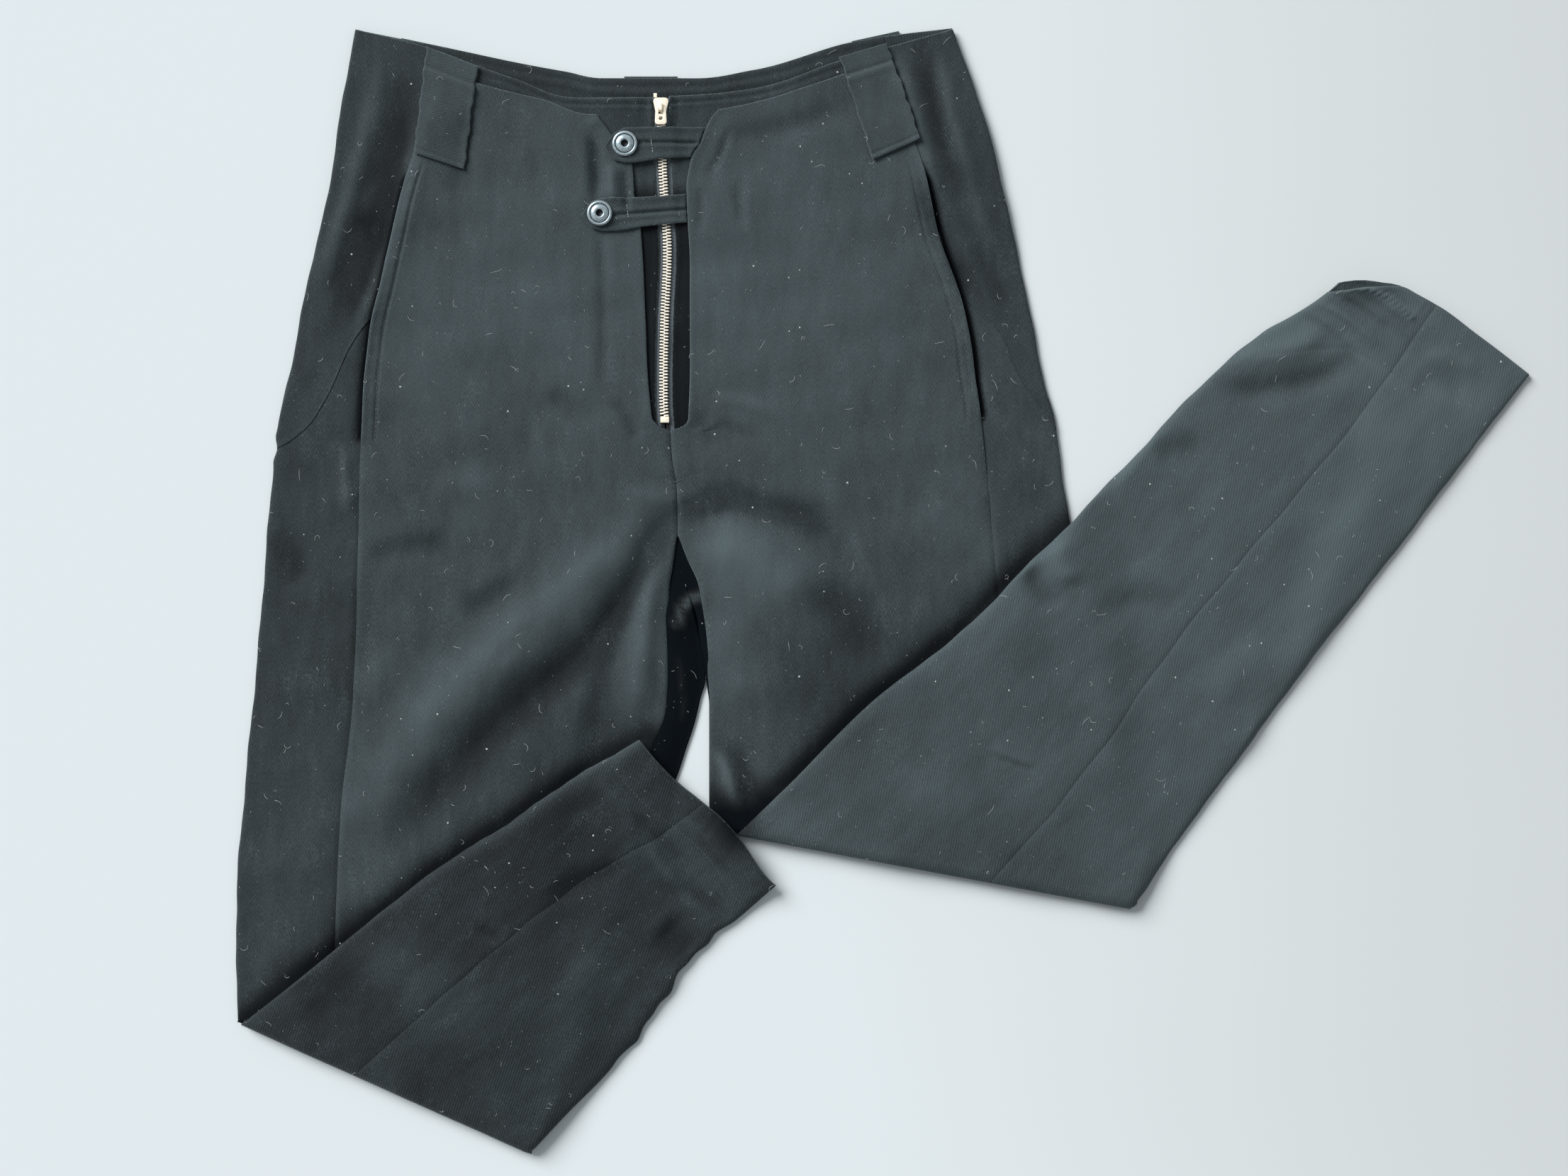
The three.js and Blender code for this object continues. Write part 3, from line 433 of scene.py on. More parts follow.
# At one hem corner the edge is curled back along this line, and it is ribbed there
leftShin["rollLine"] = distanceTo(
    [(-160.4, 386.3), (-143.7, 396.6), (-131.1, 401.6), (-118.6, 401.7), (-111.6, 401.2)]
)
rightShin["rollLine"] = lambda across, along: np.full(np.shape(across), 99.0)

# Slow unevenness of cloth that was put down by hand: a few sine waves that run different ways
waves = table("turn length phase height", [
    [12, 83, 0.4, 0.22], [67, 61, 1.9, 0.2], [118, 47, 4.4, 0.16], [151, 104, 2.6, 0.26], [38, 33, 5.2, 0.1],
    [95, 29, 0.9, 0.08], [171, 21, 3.3, 0.05],
])


# Sum of the sine waves, each along its own direction
def unevenness(x, y):
    a = np.radians(waves["turn"])
    along = x[..., None] * np.cos(a) + y[..., None] * np.sin(a)
    return (waves["height"] * np.sin(2 * math.pi * along / waves["length"] + waves["phase"])).sum(-1)


# Heights of each layer's underside. Each one lies on those below it, so creases pass up through the layers.
def floorHeight(x, y):
    lift = (y - layers["loopLiftFrom"]) / (layers["loopLiftTo"] - layers["loopLiftFrom"])
    return layers["loopLift"] * smooth(lift)


# Underside of the front: the rim, a slow puff inwards and the creases, less the press of a lower leg,
# and never below the least rise, which it meets by a softened maximum
def frontHeight(x, y, press=1.0):
    inside = bodyInside(x, y)
    toShin = np.maximum(leftShinInside(x, y), rightShinInside(x, y))
    covered = smooth(toShin / 25)
    puff = layers["puff"] + layers["legPuff"] * smooth((80 - y) / 70)
    creased = (bodyCrease(x, y) + 1.8 * unevenness(x, y)) * smooth(inside / 14) * (1 - 0.85 * covered)
    near = np.clip(1 + np.minimum(0, toShin) / layers["pressedReach"], 0, 1)
    pressed = press * layers["pressed"] * near**2 * smooth(inside / 30)
    rise = layers["rim"] + puff * smooth(inside / layers["puffReach"]) + creased - pressed
    over = np.clip((rise - layers["leastRise"]) / 0.4, -30, 30)
    return floorHeight(x, y) + layers["leastRise"] + 0.4 * np.log1p(np.exp(over))


# Underside of the outer front: it climbs over the underlay from the fly's foot upwards
def lapHeight(x, y, press=1.0):
    over = (y - layers["lapFrom"]) / (layers["lapTo"] - layers["lapFrom"])
    return frontHeight(x, y, press) + layers["lap"] * smooth(over)


# What lies on a layer: its top and a little air, falling slowly to the floor outside its outline
def restOn(top, inside):
    return (top + layers["foldRest"]) * smooth(1 + np.minimum(0, inside) / layers["dropReach"])


# Thickness of a folded lower leg: its rim, its rolled edge, a slow puff inwards and a wall
def shinThickness(inside):
    rolled = layers["roll"] * roundOff(inside, layers["rollReach"])
    puffed = layers["shinPuff"] * smooth(inside / layers["puffReach"])
    return layers["rim"] + rolled + puffed + layers["cloth"]


# Top of a folded lower leg: its underside, its thickness and its creases, which fade at its edges
def shinTop(shin, low, insideOf):
    def at(x, y):
        inside = insideOf(x, y)
        across, along = shinAxes(shin, x, y)
        creased = (2.0 * shin["crease"](across, along) + 1.6 * unevenness(across, along)) * smooth(inside / 5)
        return low(x, y) + shinThickness(inside) + creased

    return at


# Underside of each folded lower leg: the left lies on the front, the right on that or on the left
def leftShinHeight(x, y):
    return restOn(lapHeight(x, y, 0.2) + layers["cloth"], bodyInside(x, y))


leftShinTop = shinTop(leftShin, leftShinHeight, leftShinInside)


# The right one lies on whichever is higher, the front or what rests on the left one
def rightShinHeight(x, y):
    return np.maximum(leftShinHeight(x, y), restOn(leftShinTop(x, y), leftShinInside(x, y)))


rightShinTop = shinTop(rightShin, rightShinHeight, rightShinInside)
rightShin.update(low=rightShinHeight, top=rightShinTop)
leftShin.update(low=leftShinHeight, top=leftShinTop)
for shinLeg in (rightShin, leftShin):
    for edgeName in ("left", "seam", "right"):
        shinLeg[edgeName + "At"] = ruffled(
            curve(shinLeg["edges"], "along", edgeName), shinLeg["ripples"].get(edgeName, [])
        )


# Distance from the knee fold, square to it
def foldDistance(shin, across, along):
    return (along - shin["foldSlope"] * across) * math.cos(math.atan(shin["foldSlope"]))


# The outer face of a folded lower leg above and below, with its long edges and its knee fold rounded:
# both faces come to their middle height there along a quarter of an ellipse
def shinFace(shin, x, y, upper):
    across, along = shinAxes(shin, x, y)
    toSide = np.minimum(across - shin["leftAt"](along), shin["rightAt"](along) - across)
    toFold = foldDistance(shin, across, along)
    high, low = shin["top"](x, y), shin["low"](x, y)
    half = (high - low) / 2
    sideways = roundOff(toSide, layers["shinRound"])
    if not upper:
        return low + half * (1 - sideways)
    return (low + half * (1 + sideways)) * (0.5 + 0.5 * roundOff(toFold, layers["kneeRound"]))


# Underside of the thigh near its knee fold: it turns up to meet the lower leg at half the fold's height
def kneeTurn(shin, x, y, low):
    across, along = shinAxes(shin, x, y)
    toFold = foldDistance(shin, across, along)
    turned = 1 - roundOff(toFold, layers["kneeRound"])
    return lerp(low, shinFace(shin, x, y, True) / 2, np.where(toFold < layers["kneeRound"], turned, 0))


pieces = []
edgeSteps = np.array([0, 0.12, 0.4, 0.9, 1.7, 2.8])


# Stations along a length in fractions of it, about a cell apart, closer at the ends that are edges
def stations(length, cell, fineStart=True, fineEnd=True):
    start = edgeSteps if fineStart else np.zeros(1)
    end = edgeSteps if fineEnd else np.zeros(1)
    inner = length - start[-1] - end[-1]
    count = max(2, int(round(inner / cell)))
    between = start[-1] + inner * np.arange(1, count) / count
    return np.concatenate([start, between, length - end[::-1]]) / length


# Where the cloth is paler or darker: round patches, each a bell curve of the distance from its middle. The
# small dark ones at (-92, -146) and (-330, 236) are painted shade, in the hollow at the inner end of the left
# knee fold and in a trough of the right hip.
tonePatches = table("x y radius tone", [
    [-230, 200, 90, 0.35], [-60, 200, 100, 0.4], [-370, 260, 40, -0.2], [-240, 40, 70, -0.05],
    [-200, -110, 80, -0.3],
    [-360, -150, 60, 0.1], [-90, 20, 34, 0.3], [-20, -60, 60, -0.45], [-380, -20, 40, -0.1],
    [90, 60, 60, 0.1],
    [-92, -146, 15, -1.6], [-330, 236, 9, -0.5], [-150, -60, 40, 0.15], [-250, 280, 30, -0.15],
    [40, 250, 30, -0.2],
])


# Sum of the round patches
def toneAt(x, y):
    far = np.hypot(x[..., None] - tonePatches["x"], y[..., None] - tonePatches["y"])
    return (tonePatches["tone"] * bell(far / tonePatches["radius"])).sum(-1)


# Some pieces lie darker or paler as a whole, by the way their nap runs; the back's darkness is painted shade,
# as it lies under the fronts
pieceTone = {
    "back": -0.5, "yoke": -0.35, "side_r": -0.4, "side_l": -0.15, "shin_back_r": -0.5, "shin_side_r": -0.65,
    "shin_front": -0.5,
    "shin_back_l": 0.47, "shin_side_l": 0.52, "underlay": -0.45, "tab": -0.3, "loop": 0.1,
}


# Two folds of the back's inner face catch the light between the legs
backFolds = [
    distanceTo([(-130, -20), (-127, -10), (-121, -4), (-113, -2)]),
    distanceTo([(-131, -42), (-127, -62), (-126, -82)])
]


# Tone of a piece at each point: the patches, its own tone, and what its folds, edges and hollows add. Much of
# it is painted light and shade: creases lighten their ridges and darken their troughs, hollows get painted
# shade, and some folds and rolled edges get painted highlights.
def toneOf(name, x, y):
    whole = [tone for key, tone in pieceTone.items() if name.startswith(key)]
    tone = toneAt(x, y) + (whole[0] if whole else 0)
    if name.startswith("back"):
        # The back is painted shade, darker towards the crotch where it lies deep between the legs, and its
        # two folds there get painted highlights
        lit = 2.6 * bell(backFolds[0](x, y) / 5.0) + 1.3 * bell(backFolds[1](x, y) / 4.0)
        return tone - 2.2 * smooth((200 - y) / 120) + lit
    if name.startswith("shin"):
        shin = rightShin if "_r" in name else leftShin
        across, along = shinAxes(shin, x, y)
        # Painted light and shade: the creases make a lower leg paler on their ridges and darker in their
        # troughs
        tone = tone + 0.28 * shin["crease"](across, along)
        toEdge = across - shin["leftAt"](along)
        if shin is rightShin:
            # A painted highlight along the right lower leg's rolled left edge, where it faces the light
            return tone + 0.7 * bell(toEdge / 7) * smooth((along - 60) / 120) + 0.3 * bell((along - 200) / 25)
        streak = bell((across + 55 + 6 * np.sin(along / 37)) / 9) + 0.7 * bell((across + 28) / 7)
        tone = tone - 0.5 * bell(np.hypot(x - 60, y + 200) / 90) + 0.25 * bell(
            np.hypot(x - 380, y - 60) / 120
        )
        tone = (
            tone + 0.3 * streak * smooth((along - 150) / 120)
            + 0.3 * bell((along - 385 - across * 0.2) / 22)
        )
        tone = (
            tone
            + 0.7 * bell((along - 364) / 3.5) * smooth((across + 145) / 20) * smooth((-82 - across) / 12)
        )
        tone = tone + 0.5 * bell((along - 379 + 0.15 * (across + 90)) / 5) * bell((across + 84) / 30)
        return (
            tone + 1.1 * bell(shin["rollLine"](across, along) / 2.4)
            + 0.5 * smooth((along - 396) / 8) * (across < -112)
        )
    if name.startswith("underlay"):
        # Painted shade on the underlay down in the narrow fly opening, below y = 262
        return tone - 1.2 * smooth((262 - y) / 14)
    if not name.startswith(("front", "side", "yoke")):
        return tone
    toShin = np.maximum(leftShinInside(x, y), rightShinInside(x, y))
    # Painted shade on the thigh where it dips under a lower leg's edge, and painted light and shade that
    # follow the creases
    tone = tone - 1.2 * smooth(
        1 + np.minimum(0, toShin) / 18
    ) ** 1.5 + 0.15 * np.clip(bodyCrease(x, y), -4, 4)
    if name.startswith("front"):
        return tone
    # Painted shade on the yoke and side inside the pocket openings, beside the front's edge
    side, rows = (-1, rightLeg) if "_r" in name else (1, leftLeg)
    beside = side * (x - curve(rows, "y", "seam")(y))
    opening = smooth((y - hipLook["pocketEnd"][side]) / 8) * smooth((hipLook["pocketTop"] + 6 - y) / 8)
    return tone - 2.6 * opening * np.where(beside < 0, 1, bell(beside / 2.4))


# A mesh object with its material, body, cloth map and attributes
def makePiece(
    name, vertices, faces, material, body="trousers", uv=None, free=None, smoothFaces=True
):
    mesh = bpy.data.meshes.new(name)
    mesh.from_pydata(vertices, [], faces)
    if smoothFaces:
        mesh.polygons.foreach_set("use_smooth", np.ones(len(mesh.polygons), bool))
    if uv is not None:
        corners = np.empty(len(mesh.loops), np.int32)
        mesh.loops.foreach_get("vertex_index", corners)
        layer = mesh.uv_layers.new(name="grain")
        layer.data.foreach_set("uv", uv[corners].astype(np.float32).ravel())
    if free is not None:
        attribute = mesh.attributes.new("freeEdge", "FLOAT", "POINT")
        attribute.data.foreach_set("value", free.astype(np.float32).ravel())
        lie = mesh.attributes.new("tone", "FLOAT", "POINT")
        plan = np.asarray(vertices) / millimetre + [middle[0], middle[1], 0]
        lie.data.foreach_set("value", toneOf(name, plan[:, 0], plan[:, 1]).astype(np.float32))
    mesh.update()
    made = bpy.data.objects.new(name, mesh)
    bpy.context.scene.collection.objects.link(made)
    mesh.materials.append(material)
    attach(made, body)
    pieces.append(made)
    return made


# A closed wall from a grid of points on its outer face. The inner face lies a thickness further in along
# the surface's normals, and both come together over the last part of a millimetre to a rounded edge.
def shell(name, outer, upward, thickness, pinched, uv, free, material):
    rows, columns = outer.shape[:2]
    normal = np.cross(np.gradient(outer, axis=1), np.gradient(outer, axis=0))
    normal /= np.linalg.norm(normal, axis=2, keepdims=True) + 1e-9
    flipped = normal[rows // 2, 1, 2] * upward < 0
    if flipped:
        normal = -normal
    pinch = 0.44 * thickness * pinched[..., None]
    faceOut = outer - normal * pinch
    faceIn = outer - normal * (thickness - pinch)
    points = np.concatenate([faceOut.reshape(-1, 3), faceIn.reshape(-1, 3)])
    points = (points - [middle[0], middle[1], 0]) * millimetre
    index = np.arange(rows * columns).reshape(rows, columns)
    a, b = index[:-1, :-1].ravel(), index[:-1, 1:].ravel()
    c, d = index[1:, 1:].ravel(), index[1:, :-1].ravel()
    count = rows * columns
    ring = np.concatenate([index[0, :-1], index[:-1, -1], index[-1, :0:-1], index[:0:-1, 0]])
    after = np.roll(ring, -1)
    faces = np.concatenate([
        np.stack([a, b, c, d], 1),
        np.stack([a, d, c, b], 1) + count,
        np.stack([after, ring, ring + count, after + count], 1),
    ])
    if flipped:
        faces = faces[:, ::-1]
    grain = np.tile(uv.reshape(-1, 2) * millimetre, (2, 1))
    return makePiece(name, points, faces, material, uv=grain, free=np.tile(free.ravel(), 2))


# An edge at one height, as a function of the place along it
def level(height):
    return lambda x: np.full_like(x, height)


# Where each line across(y) that runs down a panel meets an edge(x) that runs across it
def meet(across, edge, start):
    y = start
    for _ in range(14):
        y = lerp(y, edge(across(y)), 0.6)
    return y


# Rows of a panel from its top edge to its bottom one, through the levels between, closer in the first stretch
def rowsBetween(top, bottom, levels, cell, topCell):
    marks = [top, *[np.full_like(top, level) for level in levels], bottom]
    parts = []
    for k in range(len(marks) - 1):
        a, b = marks[k], marks[k + 1]
        length = max(3.0, float(np.abs(a - b).mean()))
        step = topCell if k == 0 else cell
        fraction = stations(max(length, 8.0), min(step, length / 4), k == 0, k == len(marks) - 2)
        rows = a + (b - a) * fraction[:, None]
        parts.append(rows if k == 0 else rows[1:])
    return np.concatenate(parts)


# How far the edges pinch a wall at each point: fully at free edges, less where it is sewn to another
def pinchedBy(near, edges, free, thickness, sewnShare):
    shares = [(1 if k in free else sewnShare) * (1 - roundOff(near[k], 0.5 * thickness)) for k in edges]
    return np.maximum.reduce(shares)


# A panel between two lines that run down it and two edges across it: a point is a share of the way from
# the left line to the right one, at a height up the panel that runs evenly between the two edges
def flatPanel(name, spec):
    place = spec.get("plan", lambda x, y: (x, y))
    left, right = spec["left"], spec["right"]
    share = stations(spec["width"], spec["cell"])
    if "fineTo" in spec:
        runs = share * spec["width"]
        fine = np.arange(3.5, spec["fineTo"], 0.75)
        share = np.concatenate([runs[runs < 3], fine, runs[runs > spec["fineTo"] + 0.4]]) / spec["width"]
    across = lambda y: lerp(left(y), right(y), share)
    top = meet(across, spec["top"], np.full_like(share, float(np.mean(spec["top"](0.0)))))
    bottom = meet(across, spec["bottom"], np.full_like(share, float(np.mean(spec["bottom"](0.0)))))
    y = rowsBetween(top, bottom, spec.get("levels", []), spec["cell"], spec.get("topCell", spec["cell"]))
    x = lerp(left(y), right(y), share)
    near = {
        "left": np.abs(x - left(y)),
        "right": np.abs(right(y) - x),
        "top": np.abs(top - y),
        "bottom": np.abs(y - bottom),
    }
    near["any"] = np.minimum.reduce([near[k] for k in ("left", "right", "top", "bottom")])
    px, py = place(x, y)
    z = spec["surface"](px, py, x, y, near)
    free = np.minimum.reduce([near[k] for k in spec["free"]] or [np.full_like(x, 99.0)])
    free = np.where(y > spec.get("freeFrom", -1e3), free, near["top"])
    if "openLeft" in spec:
        free = np.minimum(free, near["left"] + 9 * (1 - spec["openLeft"](y)))
    upward = -1 if spec.get("under") else 1
    return shell(
        name, np.stack([px, py, z], axis=2), upward, spec.get("thickness", layers["cloth"]),
        pinchedBy(
            near, ("left", "right", "top", "bottom"), spec["free"], layers["cloth"],
            spec.get("sewnShare", 0.3)
        ),
        np.stack([x, y], axis=2), free, spec.get("material", wool),
    )


# A panel that starts at a seam on top, goes round the leg's outer edge and ends at a seam underneath
def wrapPanel(name, spec):
    place = spec.get("plan", lambda x, y: (x, y))
    seam, outer, back = spec["seam"], spec["outer"], spec["back"]
    over = stations(spec["topWidth"], spec["cell"])
    below = stations(spec["underWidth"], 3 * spec["cell"])[1:]
    isTop = np.concatenate([np.ones(len(over), bool), np.zeros(len(below), bool)])
    share = np.concatenate([over, below])

    def across(y):
        return np.where(isTop, lerp(seam(y), outer(y), share), lerp(outer(y), back(y), share))

    def edge(upper, lower):
        return lambda x: np.where(isTop, spec[upper](x), spec[lower](x))

    mid = np.full(len(share), spec["middleY"])
    top = meet(across, edge("topEdge", "topEdgeUnder"), mid)
    bottom = meet(across, edge("bottomEdge", "bottomEdgeUnder"), mid)
    y = rowsBetween(top, bottom, spec.get("levels", []), spec["cell"], spec.get("topCell", spec["cell"]))
    x = across(y)
    px, py = place(x, y)
    near = {
        "seam": np.where(isTop, np.abs(x - seam(y)), 99.0),
        "outline": np.abs(outer(y) - x),
        "back": np.where(isTop, 99.0, np.abs(x - back(y))),
        "top": np.abs(top - y),
        "bottom": np.abs(y - bottom),
    }
    near["any"] = np.minimum.reduce([near[k] for k in ("seam", "back", "top", "bottom")])
    upper = spec["high"](px, py, x, y, near)
    lower = spec["low"](px, py, x, y, near)
    z = np.where(isTop, upper, lower)
    free = np.minimum.reduce([near[k] for k in spec["free"]] or [np.full_like(x, 99.0)])
    unrolled = np.where(isTop, x, 2 * outer(y) - x)
    return shell(
        name, np.stack([px, py, z], axis=2), 1, layers["cloth"],
        pinchedBy(near, ("seam", "back", "top", "bottom"), spec["free"], layers["cloth"], 0.3),
        np.stack([unrolled, y], axis=2), free, wool,
    )


# An empty shader group whose inputs are a vector and the named values, and whose outputs are numbers
def nodeGroup(name, inputs, outputs):
    group = bpy.data.node_groups.new(name, "ShaderNodeTree")
    for label, value in {"Vector": None, **inputs}.items():
        kind = "NodeSocketFloat" if isinstance(value, float) else "NodeSocketVector"
        socket = group.interface.new_socket(name=label, in_out="INPUT", socket_type=kind)
        if value is not None:
            socket.default_value = value
    for label in outputs:
        group.interface.new_socket(name=label, in_out="OUTPUT", socket_type="NodeSocketFloat")
    start, end = group.nodes.new("NodeGroupInput"), group.nodes.new("NodeGroupOutput")
    return group, start.outputs, end.inputs


# A link from one socket to another
def connect(tree, source, target):
    tree.links.new(source, target)


# A node with its plain values and its linked sockets set by name or number
def add(tree, kind, values=None, links=None, **settings):
    node = tree.nodes.new(kind)
    for key, value in settings.items():
        setattr(node, key, value)
    for key, value in (values or {}).items():
        node.inputs[key].default_value = value
    for key, value in (links or {}).items():
        tree.links.new(value, node.inputs[key])
    return node


# A Math node whose inputs are numbers or links
def calc(tree, operation, a, b=None, c=None, clamp=False):
    node = tree.nodes.new("ShaderNodeMath")
    node.operation = operation
    node.use_clamp = clamp
    for i, value in enumerate((a, b, c)):
        if value is None:
            continue
        if isinstance(value, (int, float)):
            node.inputs[i].default_value = value
        else:
            tree.links.new(value, node.inputs[i])
    return node.outputs[0]


# A value from low to high as a slow step between two results
def ramp(tree, value, low, high, outLow=0.0, outHigh=1.0):
    node = add(tree, "ShaderNodeMapRange", {1: low, 2: high, 3: outLow, 4: outHigh}, {0: value})
    node.interpolation_type = "SMOOTHSTEP"
    return node.outputs[0]


# A noise texture's value
def noise(tree, vector, scale, detail=2.0, roughness=0.5):
    node = add(
        tree, "ShaderNodeTexNoise", {"Scale": scale, "Detail": detail, "Roughness": roughness},
        {"Vector": vector}
    )
    return node.outputs["Fac"]


# Fine diagonal ribs: a sine of the place along a slanted direction over the rib pitch, waved a little
def makeTwill():
    values = {"Pitch": 0.0017, "Slant": (0.9, 0.43, 0), "Wander": 0.0006}
    group, start, end = nodeGroup("twillRibs", values, ["Ribs"])
    turn = add(
        group, "ShaderNodeVectorMath", {}, {0: start["Vector"], 1: start["Slant"]}, operation="DOT_PRODUCT"
    )
    wobble = noise(group, start["Vector"], 160.0, 2.0)
    shift = calc(group, "MULTIPLY_ADD", wobble, start["Wander"], turn.outputs["Value"])
    phase = calc(group, "DIVIDE", shift, start["Pitch"])
    sine = calc(group, "SINE", calc(group, "MULTIPLY", phase, 2 * math.pi))
    connect(group, calc(group, "MULTIPLY_ADD", sine, 0.5, 0.5), end["Ribs"])
    return group


# Soft blotches where the nap lies one way or the other, and fine fuzz
def makeNap():
    group, start, end = nodeGroup("napMottle", {}, ["Blotch", "Fuzz", "Dusting"])
    wide = noise(group, start["Vector"], 16.0, 3.0, 0.55)
    close = noise(group, start["Vector"], 95.0, 3.0, 0.6)
    blotch = calc(group, "MULTIPLY_ADD", close, 0.4, calc(group, "MULTIPLY", wide, 0.6))
    connect(group, blotch, end["Blotch"])
    fuzz = noise(group, start["Vector"], 800.0, 4.0, 0.8)
    connect(group, fuzz, end["Fuzz"])
    cloudy = ramp(group, noise(group, start["Vector"], 42.0, 5.0, 0.72), 0.5, 0.72)
    connect(group, calc(group, "MULTIPLY", cloudy, ramp(group, fuzz, 0.4, 0.62)), end["Dusting"])
    return group


# Specks of lint: round dots in some cells of a cell pattern, thicker where a slow noise is high
def makeLint():
    group, start, end = nodeGroup("lintSpecks", {"Cells": 150.0, "Size": 0.05, "Share": 0.3}, ["Mask"])
    cells = add(
        group, "ShaderNodeTexVoronoi", {"Randomness": 1.0},
        {"Vector": start["Vector"], "Scale": start["Cells"]}
    )
    chance = add(group, "ShaderNodeSeparateColor", {}, {0: cells.outputs["Color"]})
    crowd = ramp(group, noise(group, start["Vector"], 14.0, 2.0), 0.35, 0.65, 0.3, 1.6)
    share = calc(group, "MULTIPLY", start["Share"], crowd)
    chosen = calc(group, "LESS_THAN", chance.outputs[0], share)
    size = calc(group, "MULTIPLY", start["Size"], calc(group, "ADD", chance.outputs[1], 0.5))
    dot = calc(group, "LESS_THAN", cells.outputs["Distance"], size)
    connect(group, calc(group, "MULTIPLY", chosen, dot), end["Mask"])
    return group


# Fine brushed scratches and duller patches on metal
def makeMetalGrain():
    group, start, end = nodeGroup("metalGrain", {"Scale": 900.0}, ["Dull", "Scratch"])
    patch = add(
        group, "ShaderNodeTexNoise", {"Detail": 3.0}, {"Vector": start["Vector"], "Scale": start["Scale"]}
    )
    connect(group, patch.outputs["Fac"], end["Dull"])
    squeezed = add(group, "ShaderNodeMapping", {"Scale": (1.0, 12.0, 1.0)}, {"Vector": start["Vector"]})
    fine = add(
        group, "ShaderNodeTexNoise", {"Detail": 2.0},
        {"Vector": squeezed.outputs[0], "Scale": start["Scale"]}
    )
    connect(group, fine.outputs["Fac"], end["Scratch"])
    return group


# A bump from a height that feeds the shader's normal
def roughen(tree, shader, strength, distance, height):
    bump = add(tree, "ShaderNodeBump", {"Strength": strength, "Distance": distance}, {"Height": height})
    connect(tree, bump.outputs[0], shader.inputs["Normal"])


twillRibs, napMottle, lintSpecks, metalGrain = makeTwill(), makeNap(), makeLint(), makeMetalGrain()


# A group placed in a material with its own values
def putGroup(tree, group, links, values=None):
    node = tree.nodes.new("ShaderNodeGroup")
    node.node_tree = group
    for key, value in (values or {}).items():
        node.inputs[key].default_value = value
    for key, value in links.items():
        tree.links.new(value, node.inputs[key])
    return node


# A material with its node tree and its shader
def newMaterial(name):
    material = bpy.data.materials.new(name)
    material.use_nodes = True
    tree = material.node_tree
    return material, tree, tree.nodes["Principled BSDF"]


# Two colours mixed by a factor, each a colour or a link
def mixColour(tree, factor, a, b):
    node = tree.nodes.new("ShaderNodeMix")
    node.data_type = "RGBA"
    tree.links.new(factor, node.inputs["Factor"])
    for key, value in ((6, a), (7, b)):
        if isinstance(value, tuple):
            node.inputs[key].default_value = (*value, 1)
        else:
            tree.links.new(value, node.inputs[key])
    return node.outputs[2]


woolLook = {
    "dark": (0.003, 0.005, 0.007),
    "light": (0.066, 0.09, 0.098),
    "edge": (0.11, 0.14, 0.15),
    "lint": (0.55, 0.58, 0.58),
    "pitch": 0.0016,
    "slant": (0.87, 0.5, 0),
    "sheen": 0.25,
}


